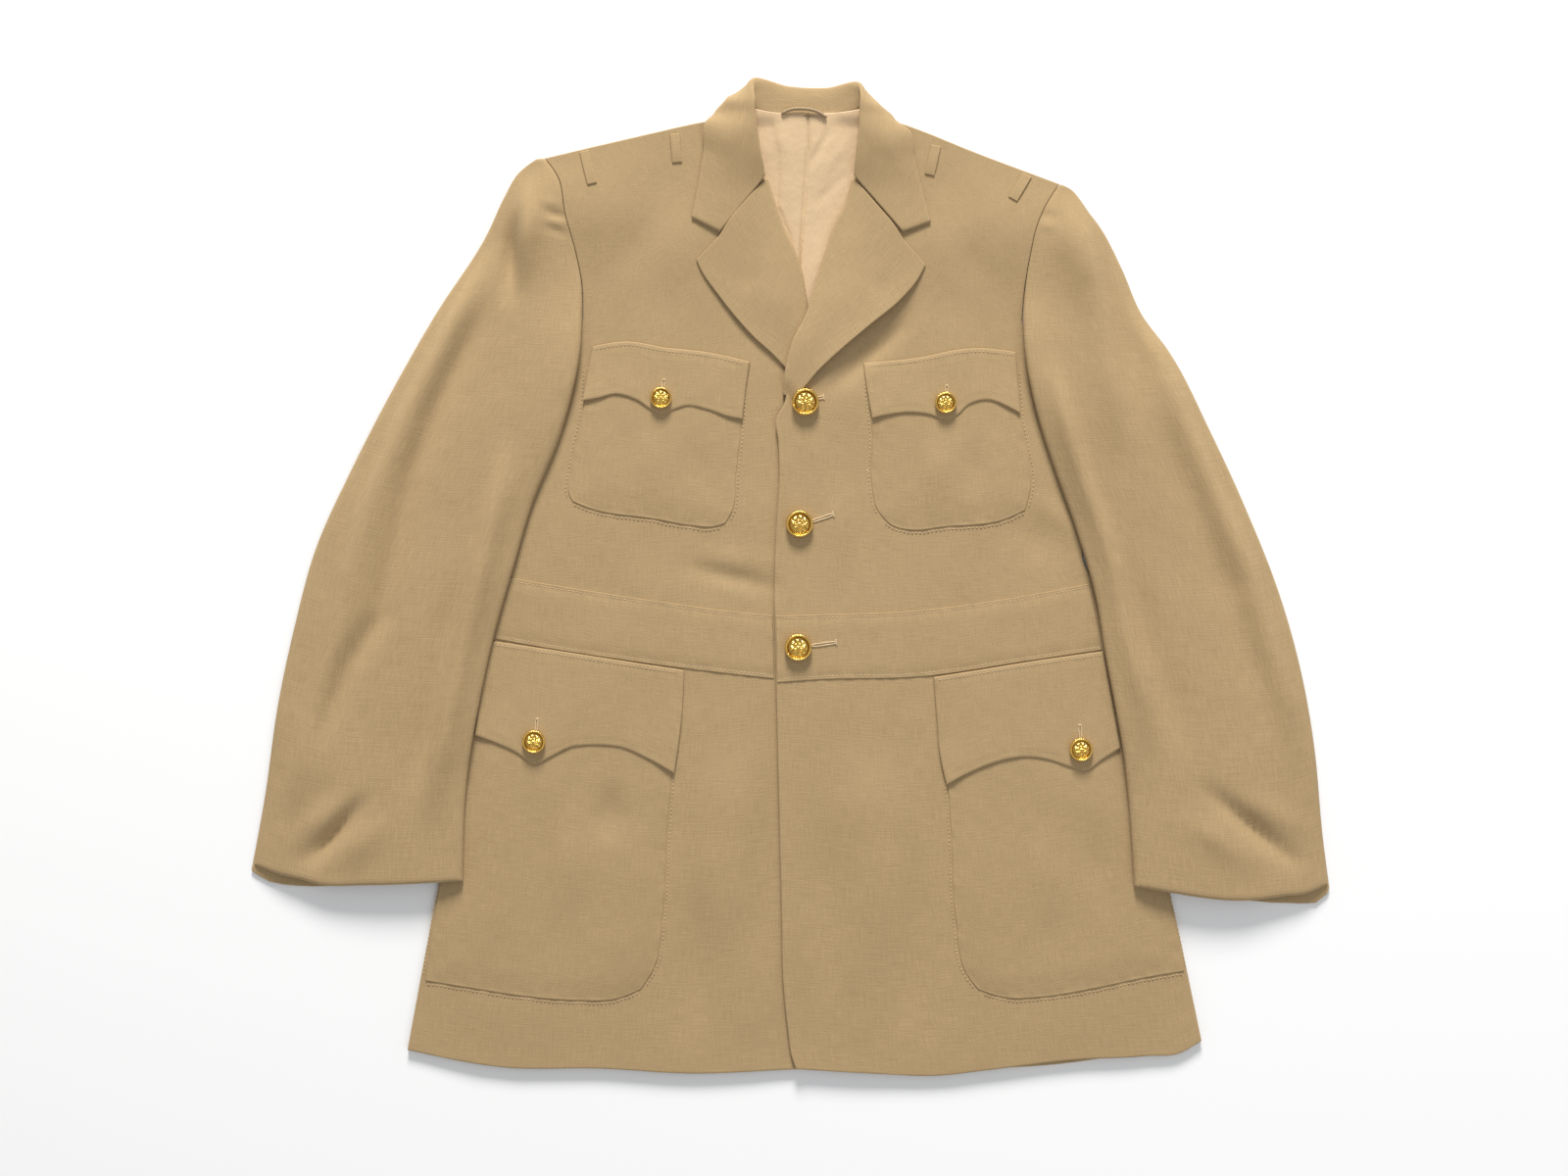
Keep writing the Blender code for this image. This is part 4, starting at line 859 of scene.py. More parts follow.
def wool_look():
    """Khaki worsted: mixed light and dark fibres, threads both ways, a fine weave and a short nap."""
    look = new_look("khaki_wool", colours().wool, 0.88)
    links = look.node_tree.links
    shader = shader_of(look)
    uv = coordinates(look, "UV")
    warp = stretched_noise(look, uv, (1300, 70, 1))
    weft = stretched_noise(look, uv, (70, 1300, 1))
    heather = stretched_noise(look, uv, (1500, 1500, 1))
    cloudy = stretched_noise(look, uv, (16, 16, 1), detail=3)
    colour = shaded(look, 0.32, colours().wool, warp, 0.30, 0.70, (0.80, 0.79, 0.77), (1.18, 1.18, 1.18))
    colour = shaded(look, 0.32, colour, weft, 0.30, 0.70, (0.80, 0.79, 0.77), (1.18, 1.18, 1.18))
    colour = shaded(look, 0.45, colour, heather, 0.25, 0.75, (0.78, 0.77, 0.75), (1.20, 1.20, 1.21))
    colour = shaded(look, 0.7, colour, cloudy, 0.30, 0.70, (0.95, 0.945, 0.94), (1.045, 1.045, 1.05))
    links.new(colour, shader.inputs["Base Color"])
    soft = bumped(look, heather, 0.25, 0.0009)
    soft = bumped(look, warp, 0.22, 0.0006, soft)
    links.new(bumped(look, weft, 0.22, 0.0006, soft), shader.inputs["Normal"])
    shader.inputs["Sheen Weight"].default_value = 0.18
    shader.inputs["Sheen Roughness"].default_value = 0.5
    shader.inputs["Sheen Tint"].default_value = (0.95, 0.85, 0.68, 1.0)
    shader.inputs["Specular IOR Level"].default_value = 0.18
    return look


def lining_look():
    """Champagne lining: a smooth twill with a soft shine and slight crumples."""
    look = new_look("lining_satin", colours().lining, 0.42)
    links = look.node_tree.links
    shader = shader_of(look)
    uv = coordinates(look, "UV")
    threads = stretched_noise(look, uv, (1600, 160, 1))
    crumple = stretched_noise(look, uv, (60, 34, 1), detail=3, roughness=0.55)
    colour = shaded(look, 0.6, colours().lining, threads, 0.3, 0.7, (0.93, 0.92, 0.91), (1.06, 1.06, 1.06))
    links.new(colour, shader.inputs["Base Color"])
    links.new(bumped(look, crumple, 0.35, 0.0035), shader.inputs["Normal"])
    shader.inputs["Sheen Weight"].default_value = 0.25
    shader.inputs["Sheen Roughness"].default_value = 0.3
    return look


def gilt_look():
    """Gilt brass: full colour on the high places of a button's face, darkened by painted shade in its low
    places.
    """
    look = new_look("gilt", colours().gilt, 0.24, 1.0)
    links = look.node_tree.links
    wear = stretched_noise(look, coordinates(look, "Object"), (1, 1, 1), 260.0, 3, 0.6)
    colour = shaded(look, 0.6, colours().gilt, wear, 0.3, 0.7, (0.78, 0.74, 0.66), (1.05, 1.05, 1.05))
    # Painted shade: the UV's first number darkens the colour towards the low places of a button's face
    split = look.node_tree.nodes.new("ShaderNodeSeparateXYZ")
    links.new(coordinates(look, "UV"), split.inputs[0])
    painted_recess_shade = split.outputs[0]
    colour = shaded(look, 1.0, colour, painted_recess_shade, 0.05, 0.75, (0.34, 0.24, 0.13), (1.0, 1.0, 1.0))
    links.new(colour, shader_of(look).inputs["Base Color"])
    return look


def thread_look(name, colour):
    """Thread: matt, with a fine twist."""
    look = new_look(name, colour, 0.7)
    twist = stretched_noise(look, coordinates(look, "Object"), (1, 1, 1), 1800.0)
    look.node_tree.links.new(bumped(look, twist, 0.4, 0.0004), shader_of(look).inputs["Normal"])
    return look


def cord_look():
    return thread_look("hanger_cord", colours().cord)


def stitch_look():
    return thread_look("light_thread", colours().thread)


LOOK_MAKERS = {
    "khaki_wool": wool_look,
    "lining_satin": lining_look,
    "gilt": gilt_look,
    "hanger_cord": cord_look,
    "light_thread": stitch_look,
}
looks = {}


def look_of(name):
    """The named material, made once."""
    if name not in looks:
        looks[name] = LOOK_MAKERS[name]()
    return looks[name]


def body_side(side):
    """A body panel's side: just inside the armhole seam, round the armpit, and down the side seam."""
    line = chain((SEAM[side], SEAM_PART), (ARMPIT[side], ARMPIT_PART), (SIDE[side], SIDE_PART))
    in_seam = line.shares <= SEAM_PART / PANEL_PARTS
    line.points[in_seam, 0] += INSET[side]
    return line


def make_back():
    """The back panel, under everything from the shoulders to the hem."""
    neck = ((-34, 377.5), (-20, 376.2), (14, 375.6), (46, 375.8), (62, 379))
    top = chain((SHOULDER["right"], 4), (neck, 4), (SHOULDER["left"][::-1], 4))
    grid = Grid(top, smooth_line(HEM_BACK), body_side("right"), body_side("left"), 7.0)
    top_z = top_of("back_panel", grid.plan, 6.0)
    lay_sheet("back_panel", grid, top_z, sizes().body_wall)


def make_lining():
    """The lining in the neck, with its centre seam and its pleat."""
    grid = grid_of(LINING, 1.1)
    top_z = top_of("neck_lining", grid.plan, 4.0) + 1.7 * folds_at(grid.plan, LINING_FOLDS) + 0.3
    from_middle = abs(grid.plan[..., 0] - 12)
    top_z += 2.6 * ease((grid.plan[..., 1] - 366) / 12) * ease((from_middle - 16) / 20)
    lay_sheet("neck_lining", grid, top_z, 0.8, "lining_satin")


def front_grid(side):
    inner = chain((GORGE[side], 2), (ROLL[side], 7), (FRONT_EDGE[side], 13))
    return Grid(smooth_line(SHOULDER[side]), smooth_line(HEM[side]), body_side(side), inner, sizes().grid)


def make_front(side):
    """One front: the CAD's heights smoothed, with its creases, over what it laps."""
    grid = front_grid(side)
    lay_sheet("front_" + side, grid, lapped_top(side, grid.plan), sizes().body_wall)


def make_lapel(side):
    """A lapel from its outer edge to the roll, then round the front's edge in an arc."""
    corner, gorge = LAPEL_TOP[side]
    outer, roll = smooth_line(LAPEL_OUTER[side]), smooth_line(ROLL[side])
    bottom = smooth_line((LAPEL_OUTER[side][-1], ROLL[side][-1]))
    grid = Grid(chain((corner, 2), (gorge, 4)), bottom, outer, roll, sizes().fine_grid)
    share, run = grid.across[None, :], grid.down[:, None]
    wall = sizes().flap_wall
    lift, edge_lift = {"right": (2.0, 1.6), "left": (2.2, 6.0)}[side]
    crown = lift * np.sin(math.pi * share ** 1.6) * ease((1 - run) / 0.5)
    raised = edge_lift * (1 - share) ** 1.5 * np.sin(math.pi * run) ** 1.2
    base = body_top(side, grid.plan)
    if side == "left":
        base = np.maximum(base, top_of("lapel_right", grid.plan, 4.0) * (grid.plan[..., 0] < 23)
                          * (grid.plan[..., 1] > 150))
    height = blurred(base, 3) + wall / 2 + 0.4 + crown + raised + folds_at(grid.plan, LAPEL_FOLDS)
    height -= 1.9 * ease((run - 0.92) / 0.08)
    middle = with_height(grid.plan, height)
    roll_points = middle[:, -1, :2]
    tangent = np.gradient(roll_points, axis=0)
    outward = np.stack([-tangent[:, 1], tangent[:, 0]], axis=1)
    outward /= np.linalg.norm(outward, axis=1)[:, None]
    if np.sum(outward * (grid.plan[:, -1] - grid.plan[:, -2])) < 0:
        outward = -outward
    turns = np.radians(np.linspace(12, 132, 11))[None, :, None]
    radius = 2.2
    sideways = outward[:, None, :] * radius * np.sin(turns)
    downward = np.broadcast_to(-radius * (1 - np.cos(turns)), (len(middle), turns.shape[1], 1))
    arc = np.concatenate([sideways, downward], axis=2)
    middle = np.concatenate([middle, middle[:, -1:, :] + arc], axis=1)
    wall_between("lapel_" + side, middle, wall)


def make_collar():
    """One band round the neck: stand, roll and fall, laid on the fronts at its two ends."""
    stand, roll, fall, edge = (smooth_points(line, 12) for line in zip(*COLLAR_STATIONS))
    low = np.clip((12.0 - roll[:, 2]) / 9.0, 0.0, 1.0)[:, None] * np.array([[0.0, 0.0, 1.3]])
    start = roll + 0.34 * (stand - roll) + low
    end = roll + 0.34 * (fall - roll) - low
    pull = 2 * roll - (start + end) / 2
    columns = [stand + (start - stand) * t for t in (0.0, 0.06, 0.2, 0.4, 0.6, 0.8)]
    columns += [(1 - t) ** 2 * start + 2 * t * (1 - t) * pull + t * t * end for t in np.linspace(0, 1, 11)]
    columns += [end + (fall - end) * t for t in (0.2, 0.4, 0.6, 0.8, 1.0)]
    columns += [fall + (edge - fall) * t for t in (0.15, 0.3, 0.45, 0.6, 0.75, 0.88, 0.96, 1.0)]
    middle = np.stack(columns, axis=1)
    wall = sizes().flap_wall
    plan = middle[..., :2]
    left = body_top("left", plan)
    rest = np.where(plan[..., 0] > 15, left, body_top("right", plan)) + wall / 2 + 0.5
    draped = ease((middle[..., 2] - 4.5) / 1.5) * ease((379 - plan[..., 1]) / 8)
    middle[..., 2] += draped * np.maximum(rest - middle[..., 2], 0.0)
    outward = np.linspace(0.0, 1.0, middle.shape[1])[None, :]
    at_notch = ease((352 - plan[..., 1]) / 40) * ease(outward / 0.4)
    middle[..., 2] -= 0.72 * at_notch * np.maximum(middle[..., 2] - rest - 0.3, 0.0)
    wall_between("collar", middle, wall)


def edge_ripple(grid, depth, width, length):
    """Small uneven puckers along a sewn edge, fading inward."""
    plan = grid.plan
    along = (plan[..., 0] + 0.7 * plan[..., 1]) / length
    across = (plan[..., 1] - 0.6 * plan[..., 0]) / length
    wave = np.sin(2 * math.pi * along + 1.3 * np.sin(2.3 * across)) + 0.6 * np.sin(3.7 * across + 0.4)
    return depth * wave * np.exp(-((grid.edge_distance / width) ** 2))


def seam_groove(distance, at, depth, width):
    """A shallow groove where a row of stitches pulls the cloth down."""
    return -depth * np.exp(-(((distance - at) / width) ** 2))


def make_pocket(name, patch, side, puff):
    """A patch pocket, sewn down all round but its top."""
    grid = grid_of(patch, sizes().fine_grid)
    wall = sizes().pocket_wall
    inside = ease(grid.edge_distance / 22)
    base = lapped_top(side, grid.plan) + (0.15 + wall)
    top_z = (base + puff * inside + edge_ripple(grid, 0.14, 7, 15)
             + seam_groove(grid.edge_distance, POCKET_STITCHES, 0.12, 1.0))
    lay_sheet(name, grid, top_z, wall)


def make_flap(name, patch, side, lift, curl):
    """A flap: sewn along its top, loose and a little lifted along its scalloped lower edge."""
    grid = grid_of(patch, sizes().fine_grid)
    wall = sizes().flap_wall
    down = grid.down[:, None]
    across = grid.across[None, :]
    inside = ease(grid.edge_distance / 6)
    loose = lift * down ** 1.5 * (0.75 + 0.25 * np.sin(9 * across + curl))
    corner = 0.7 * np.exp(-((across - (curl > 0)) / 0.12) ** 2) * ease((down - 0.55) / 0.45)
    rim = 0.22 * np.exp(-(((grid.edge_distance - 2.0) / 1.6) ** 2))
    base = lapped_top(side, grid.plan) + (sizes().pocket_wall + wall + 0.25)
    top_z = (base + 0.4 * inside + loose + corner + rim
             + seam_groove(grid.edge_distance, 5.2, 0.18, 1.1) + edge_ripple(grid, 0.08, 8, 19))
    lay_sheet(name, grid, top_z, wall)


def make_belt(side):
    """A half of the belt, stitched along both edges."""
    top, low = smooth_line(BELT_TOP[side]), smooth_line(BELT_LOW[side])
    ends = [smooth_line((BELT_TOP[side][at], BELT_LOW[side][at])) for at in (0, -1)]
    grid = Grid(top, low, *ends, sizes().fine_grid)
    wall = sizes().pocket_wall
    base = lapped_top(side, grid.plan) + (wall + 0.2)
    top_z = (base + 0.5 * ease(grid.end_distance / 12)
             + seam_groove(grid.end_distance, BELT_STITCHES, 0.2, 1.0) + edge_ripple(grid, 0.12, 6, 13))
    lay_sheet("belt_" + side, grid, top_z, wall)


def make_sleeve(side):
    """Both halves of a sleeve: the under one on the surface, the upper one full and creased."""
    outer, cuff = SLEEVE_OUTER[side], CUFF_UNDER[side]
    head = smooth_line((outer[0], SEAM[side][0]))
    inner = chain((SEAM[side], SEAM_PART), (SLEEVE_FOLD[side], SLEEVE_PART))
    grid = Grid(head, smooth_line(cuff), smooth_line(outer), inner, 6.0)
    under_name = "sleeve_under_" + side
    lay_sheet(under_name, grid, top_of(under_name, grid.plan, 4.0), 1.3)
    top_cuff = CUFF_TOP[side]
    inner = chain((SEAM[side], SEAM_PART), (SLEEVE_FOLD[side][:-1] + (top_cuff[-1],), SLEEVE_PART))
    grid = Grid(head, smooth_line(top_cuff), smooth_line(outer[:-1] + (top_cuff[0],)), inner, sizes().grid)
    name = "sleeve_top_" + side
    share = np.sin(math.pi * grid.across)[None, :] ** 0.8
    fullness = share * ease(grid.down[:, None] / 0.12)
    creases = sizes().sleeve_crease * folds_at(grid.plan, SLEEVE_FOLDS) * ease(grid.side_distance / 14)
    top_z = top_of(name, grid.plan) + sizes().sleeve_crown * fullness + unevenness(grid.plan) + creases
    from_seam = (1 - grid.across)[None, :] * grid.width
    sewn_part = 5.6
    fading_part = 3.4
    above_armpit = ease((sewn_part / PANEL_PARTS - grid.down[:, None]) * PANEL_PARTS / fading_part)
    in_seam = above_armpit * ease(1 - from_seam / 38)
    sewn = above_armpit * ease(1 - from_seam / 12)
    seam_z = body_top(side, grid.plan[:, -1:]) + CLEARANCE
    top_z += in_seam * (seam_z - top_z) * (1 - 0.35 * np.sin(math.pi * np.clip(from_seam / 38, 0, 1)))
    top_z += {"right": 1.0, "left": 1.8}[side] * ease(1 - from_seam / 18) * (1 - above_armpit)
    top_z += folds_at(grid.plan, HEAD_PUCKERS)
    top_z = np.maximum(top_z, 2.6)
    lay_sheet(name, grid, top_z, sizes().body_wall, round_edge=3.0 - 2.1 * sewn)


def make_shoulder_loops():
    """Narrow bars of cloth across the shoulders, a little arched."""
    for bar in SHOULDER_LOOPS:
        side = "right" if "right" in bar.name else "left"
        top = np.array((bar.top_x, bar.top_y), dtype=float)
        low = np.array((bar.low_x, bar.low_y), dtype=float)
        along = (low - top) / np.linalg.norm(low - top)
        half = np.array((-along[1], along[0])) * bar.width / 2
        patch = Patch((top - half, top + half), (low - half, low + half), (top - half, low - half),
                      (top + half, low + half))
        grid = grid_of(patch, 1.0)
        arch = 0.5 * np.sin(math.pi * grid.down)[:, None] * np.ones_like(grid.across)[None, :]
        top_z = body_top(side, grid.plan) + 1.0 + arch
        lay_sheet(bar.name, grid, top_z, 0.8)


def tube(name, path, radius, sides, look, lumps=0.0, pitch=1.0):
    """A closed tube along the points, its radius swelling by the lumps once each pitch like plied thread."""
    along = np.gradient(path, axis=0)
    along /= np.maximum(np.linalg.norm(along, axis=1), 1e-9)[:, None]
    side = np.cross(along, np.array([0.0, 0.0, 1.0]))
    side /= np.maximum(np.linalg.norm(side, axis=1), 1e-9)[:, None]
    up = np.cross(side, along)
    run = np.concatenate([[0.0], np.cumsum(np.linalg.norm(np.diff(path, axis=0), axis=1))])
    turns = np.arange(sides) * 2 * math.pi / sides
    swell = 1 + lumps * np.sin(2 * math.pi * run[:, None] / pitch + turns[None, :])
    caps = np.sqrt(np.clip(np.minimum(run, run[-1] - run) / radius, 0.02, 1.0))[:, None]
    ring = side[:, None, :] * np.cos(turns)[None, :, None] + up[:, None, :] * np.sin(turns)[None, :, None]
    points = (path[:, None, :] + (radius * swell * caps)[..., None] * ring).reshape(-1, 3)
    index = np.arange(len(points)).reshape(len(path), sides)
    after = np.roll(index, -1, axis=1)
    quads = np.stack([index[:-1], index[1:], after[1:], after[:-1]], axis=-1).reshape(-1, 4)
    ends = []
    for row, order in ((index[0], 1), (index[-1], -1)):
        for start in range(1, sides - 2, 2):
            ends.append([row[0], row[start], row[start + 1], row[start + 2]][::order])
    return mesh_object(name, points, np.vstack([quads, np.array(ends)]), None, look)


def make_hanger_loop():
    path = at_shares(smooth_line(HANGER_LOOP), np.linspace(0, 1, 60))
    piece = tube("hanger_loop_cord", path, HANGER_RADIUS, 8, look_of("hanger_cord"), 0.12, 3.0)
    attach(piece, "root")
    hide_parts("hanger_loop")


def revolved(profile, steps):
    """Rings of points round Z from rows of radius and height, outside first: shape (rings, steps, 3)."""
    turns = np.linspace(0, 2 * math.pi, steps, endpoint=False)[None, :]
    radius, height = profile[:, 0:1], profile[:, 1:2]
    level = np.broadcast_to(height, (len(profile), steps))
    return np.stack([radius * np.cos(turns), radius * np.sin(turns), level], axis=-1)


def ring_quads(rings, steps, offset=0):
    index = np.arange(rings * steps).reshape(rings, steps) + offset
    after = np.roll(index, -1, axis=1)
    return np.stack([index[:-1], after[:-1], after[1:], index[1:]], axis=-1).reshape(-1, 4)


def rosette(radius_share, turn):
    """Relief of a plain flower on the button's dome: petals in two rings, a boss and a beaded ground."""
    petal = 0.5 + 0.5 * np.cos(PETALS * turn)
    far = np.exp(-((radius_share - 0.44) / 0.17) ** 2) * petal ** 0.7
    near = np.exp(-((radius_share - 0.24) / 0.10) ** 2) * (0.5 + 0.5 * np.cos(PETALS * turn + math.pi)) ** 0.8
    boss = np.exp(-((radius_share / 0.12) ** 2))
    vein = -0.25 * far * np.exp(-((np.sin(PETALS / 2 * turn) / 0.16) ** 2))
    bead = 0.03 * np.exp(-((radius_share - 0.68) / 0.03) ** 2) * (0.5 + 0.5 * np.cos(40 * turn))
    return 0.12 * far + vein * 0.2 + 0.09 * near + 0.13 * boss + bead


def button_points(radius):
    """A button's body: flat back, rolled rim and a domed face with the rosette."""
    steps = 160
    rim = np.array(BUTTON_SIDE) * radius
    inner = np.linspace(0.79, 0.004, 46)
    dome = 0.20 + 0.12 * np.sqrt(np.clip(1 - (inner / 0.86) ** 2, 0, 1))
    profile = np.vstack([rim, np.stack([inner, dome], axis=1) * radius])
    rings = revolved(profile, steps)
    turns = np.linspace(0, 2 * math.pi, steps, endpoint=False)[None, :]
    rings[len(rim):, :, 2] += radius * rosette(inner[:, None], turns)
    return rings


def rope_points(radius):
    """The twisted rope that rims the face: a ring of cord whose strands wind round it."""
    steps, sides = 272, 10
    turn = np.linspace(0, 2 * math.pi, steps, endpoint=False)[:, None]
    around = np.linspace(0, 2 * math.pi, sides, endpoint=False)[None, :]
    thick = radius * 0.085 * (1 + 0.13 * np.cos(ROPE_STRANDS * turn + 2 * around))
    wide = radius * 0.885 + thick * np.cos(around)
    return np.stack([wide * np.cos(turn), wide * np.sin(turn), radius * 0.36 + thick * np.sin(around)], axis=-1)


def cloth_under(name):
    """The cloth piece that a button or a buttonhole is sewn to."""
    kind, place, side = name.split("_")
    if name.endswith("front_3"):
        return "belt_left_cloth"
    if place == "front":
        return "front_left_cloth"
    return "%s_flap_%s_cloth" % (place, side)


def rope_quads(shape, offset):
    """Faces of a ring of cord, closed both ways round."""
    index = np.arange(shape[0] * shape[1]).reshape(shape) + offset
    after = np.roll(index, -1, axis=0)
    corners = [index, after, np.roll(after, -1, axis=1), np.roll(index, -1, axis=1)]
    return np.stack(corners, axis=-1).reshape(-1, 4)


def button_parts(button, radius):
    """Points, faces and painted recess shade of a button: its body, its rope rim and its bright bumps."""
    body = button_points(radius)
    rope = rope_points(radius)
    # Painted shade: a share that darkens the colour towards the low places of the face; the rim, rope and bumps
    # keep it at one
    painted_recess_shade = np.ones(body.shape[:2])
    face = len(BUTTON_SIDE)
    painted_recess_shade[face:] = np.clip((body[face:, :, 2] / radius - 0.20) / 0.20, 0, 1)
    points = [body.reshape(-1, 3), rope.reshape(-1, 3)]
    quads = [ring_quads(*body.shape[:2]), rope_quads(rope.shape[:2], len(points[0]))]
    shine = [painted_recess_shade.ravel(), np.ones(len(points[1]))]
    for claw in CLAWS:
        if claw.button == button.name:
            bead, faces = bead_at(radius, math.radians(claw.degrees - button.turn))
            quads.append(faces + sum(map(len, points)))
            points.append(bead)
            shine.append(np.ones(len(bead)))
    return np.vstack(points), np.vstack(quads), np.concatenate(shine)


def make_button(button, on):
    """A gilt button just above the cloth it is sewn to and tilted with it."""
    radius = button.diameter / 2
    points, quads, painted_recess_shade = button_parts(button, radius)
    turn = math.radians(button.turn)
    x = points[:, 0] * math.cos(turn) - points[:, 1] * math.sin(turn)
    y = points[:, 0] * math.sin(turn) + points[:, 1] * math.cos(turn)
    middle = np.array((button.x, button.y))
    circle = np.linspace(0, 2 * math.pi, 12, endpoint=False)
    spots = middle + 0.8 * radius * np.stack([np.cos(circle), np.sin(circle)], axis=1)
    heights = surface_height(on, spots)
    slope = np.linalg.lstsq(np.column_stack([spots - middle, np.ones(12)]), heights, rcond=None)[0]
    z = points[:, 2] + slope[0] * x + slope[1] * y + heights.max() + 0.4
    placed = np.column_stack([button.x + x, button.y + y, z])
    # The UV carries the painted recess shade to the gilt material
    uv = np.stack([painted_recess_shade, painted_recess_shade], axis=1)
    piece = mesh_object(button.name + "_gilt", placed, quads, uv, look_of("gilt"))
    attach(piece, "root")
    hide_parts(button.name)


def bead_at(radius, angle):
    """A small dome on the rim."""
    steps, rings = 12, 6
    lift = np.linspace(0, math.pi / 2 - 0.05, rings)
    profile = np.stack([np.cos(lift), np.sin(lift)], axis=1) * radius * 0.12
    bead = revolved(profile, steps).reshape(-1, 3)
    bead += np.array([math.cos(angle) * radius * 0.89, math.sin(angle) * radius * 0.89, radius * 0.38])
    return bead, ring_quads(rings, steps)


def make_buttons():
    for button in BUTTONS:
        make_button(button, cloth_under(button.name))


def make_buttonhole(slit):
    """A corded slit: an oval of thread round a dark cut, with a bar at its far end."""
    start, end = np.array((slit.x0, slit.y0)), np.array((slit.x1, slit.y1))
    along = (end - start) / np.linalg.norm(end - start)
    side = np.array((-along[1], along[0]))
    turn = np.linspace(0, 2 * math.pi, 90)
    half = np.linalg.norm(end - start) / 2
    flat = np.abs(np.cos(turn)) ** 0.35 * np.sign(np.cos(turn))
    plan = (start + end) / 2 + (flat * half)[:, None] * along + (np.sin(turn) * 1.0)[:, None] * side
    on = cloth_under(slit.name)
    z = surface_height(on, plan) + 0.25
    piece = tube(slit.name, np.column_stack([plan, z]), 0.55, 8, look_of("light_thread"), 0.25, 1.1)
    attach(piece, "root")
    share = np.linspace(-0.5, 0.5, 12)[:, None]
    plan = end + share * side * slit.bar
    path = np.column_stack([plan, surface_height(on, plan) + 0.35])
    piece = tube(slit.name + "_bar", path, 0.65, 8, look_of("light_thread"), 0.25, 1.1)
    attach(piece, "root")


def moved_line(line, inset):
    """The line's points at even steps, moved sideways by the inset to its left."""
    count = max(2, int(length_of(line)))
    run = np.concatenate([[0.0], np.cumsum(np.linalg.norm(np.diff(line.points, axis=0), axis=1))])
    even = Line(line.points, run / run[-1])
    points = at_shares(even, np.linspace(0, 1, count))
    tangent = np.gradient(points, axis=0)
    tangent /= np.maximum(np.linalg.norm(tangent, axis=1), 1e-9)[:, None]
    return points + inset * np.stack([-tangent[:, 1], tangent[:, 0]], axis=1)


def stitch_row(kind, edge, side, rows, inset):
    """A row of short raised stitches along one edge of a piece, as one mesh."""
    on = "%s_%s_cloth" % (kind, side)
    path = moved_line(smooth_line(rows), inset)
    run = np.concatenate([[0.0], np.cumsum(np.linalg.norm(np.diff(path, axis=0), axis=1))])
    pitch = sizes().stitch + sizes().stitch_gap
    count = int((run[-1] - 4) / pitch)
    if count < 1:
        return
    starts = 2 + pitch * np.arange(count)
    ends = starts + sizes().stitch
    spots = [np.stack([np.interp(at, run, path[:, 0]), np.interp(at, run, path[:, 1])], axis=1)
             for at in (starts, (starts + ends) / 2, ends)]
    z = [surface_height(on, spot) for spot in spots]
    a = np.column_stack([spots[0], z[0] + 0.02])
    middle = np.column_stack([spots[1], np.maximum(z[1], (z[0] + z[2]) / 2) + 0.1])
    b = np.column_stack([spots[2], z[2] + 0.02])
    along = (b - a) / np.maximum(np.linalg.norm(b - a, axis=1), 1e-9)[:, None]
    half = np.column_stack([-along[:, 1], along[:, 0], np.zeros(count)]) * 0.32
    up = np.array([[0.0, 0.0, 0.30]])
    rings = [a - half * 0.5, a + up * 0.5, a + half * 0.5, a - up,
             middle - half, middle + up, middle + half, middle - up,
             b - half * 0.5, b + up * 0.5, b + half * 0.5, b - up]
    points = np.stack(rings, axis=1).reshape(-1, 3)
    quads = (np.array(STITCH_FACES)[None] + 12 * np.arange(count)[:, None, None]).reshape(-1, 4)
    name = "stitches_%s_%s_%s" % (kind, edge, side)
    piece = mesh_object(name, points, quads, None, look_of("light_thread"))
    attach(piece, "root")


def make_stitching():
    """Topstitching along the belt, the flaps' tops and the pockets."""
    for side, sign in (("right", -1), ("left", 1)):
        stitch_row("belt", "top", side, BELT_TOP[side], sign * BELT_STITCHES)
        stitch_row("belt", "low", side, BELT_LOW[side], -sign * BELT_STITCHES)
        for kind, table in (("chest_flap", CHEST_FLAP), ("skirt_flap", SKIRT_FLAP)):
            stitch_row(kind, "top", side, table[side].top, sign * FLAP_STITCHES)
        for kind, table in (("chest_pocket", CHEST_POCKET), ("skirt_pocket", SKIRT_POCKET)):
            for edge, inward in (("outer", sign), ("bottom", sign), ("inner", -sign)):
                stitch_row(kind, edge, side, getattr(table[side], edge), inward * POCKET_STITCHES)


def make_stage():
    """A pale floor, soft light from beyond the collar and the camera straight above."""
    floor_look = new_look("floor", colours().floor, 0.9)
    shader_of(floor_look).inputs["Specular IOR Level"].default_value = 0.1
    sides = ((-1, -1), (1, -1), (1, 1), (-1, 1))
    corners = np.array([(x * FLOOR_REACH, y * FLOOR_REACH, FLOOR_LEVEL) for x, y in sides])
    floor = mesh_object("floor", corners, np.array([(0, 1, 2, 3)]), None, floor_look)
    scene = bpy.context.scene
    world = bpy.data.worlds.new("studio")
    scene.world = world
    world.use_nodes = True
    background = world.node_tree.nodes["Background"]
    background.inputs["Color"].default_value = SKY_COLOUR
    background.inputs["Strength"].default_value = SKY_STRENGTH
    for name, place, size, power, colour in LAMPS:
        light = bpy.data.lights.new(name, "AREA")
        light.shape = "DISK"
        light.size = size
        light.energy = power
        light.color = colour
        lamp = bpy.data.objects.new(name, light)
        scene.collection.objects.link(lamp)
        lamp.location = place
        away = -np.array(place)
        level = math.hypot(away[0], away[1])
        lamp.rotation_euler = (math.atan2(level, -away[2]), 0.0, math.atan2(away[1], away[0]) - math.pi / 2)
    camera = bpy.data.cameras.new("camera")
    camera.sensor_width = CAMERA_SENSOR
    camera.lens = CAMERA_LENS
    camera.clip_end = 20.0
    placed = bpy.data.objects.new("camera", camera)
    scene.collection.objects.link(placed)
    placed.location = CAMERA_PLACE
    scene.camera = placed
    scene.view_settings.view_transform = "Standard"


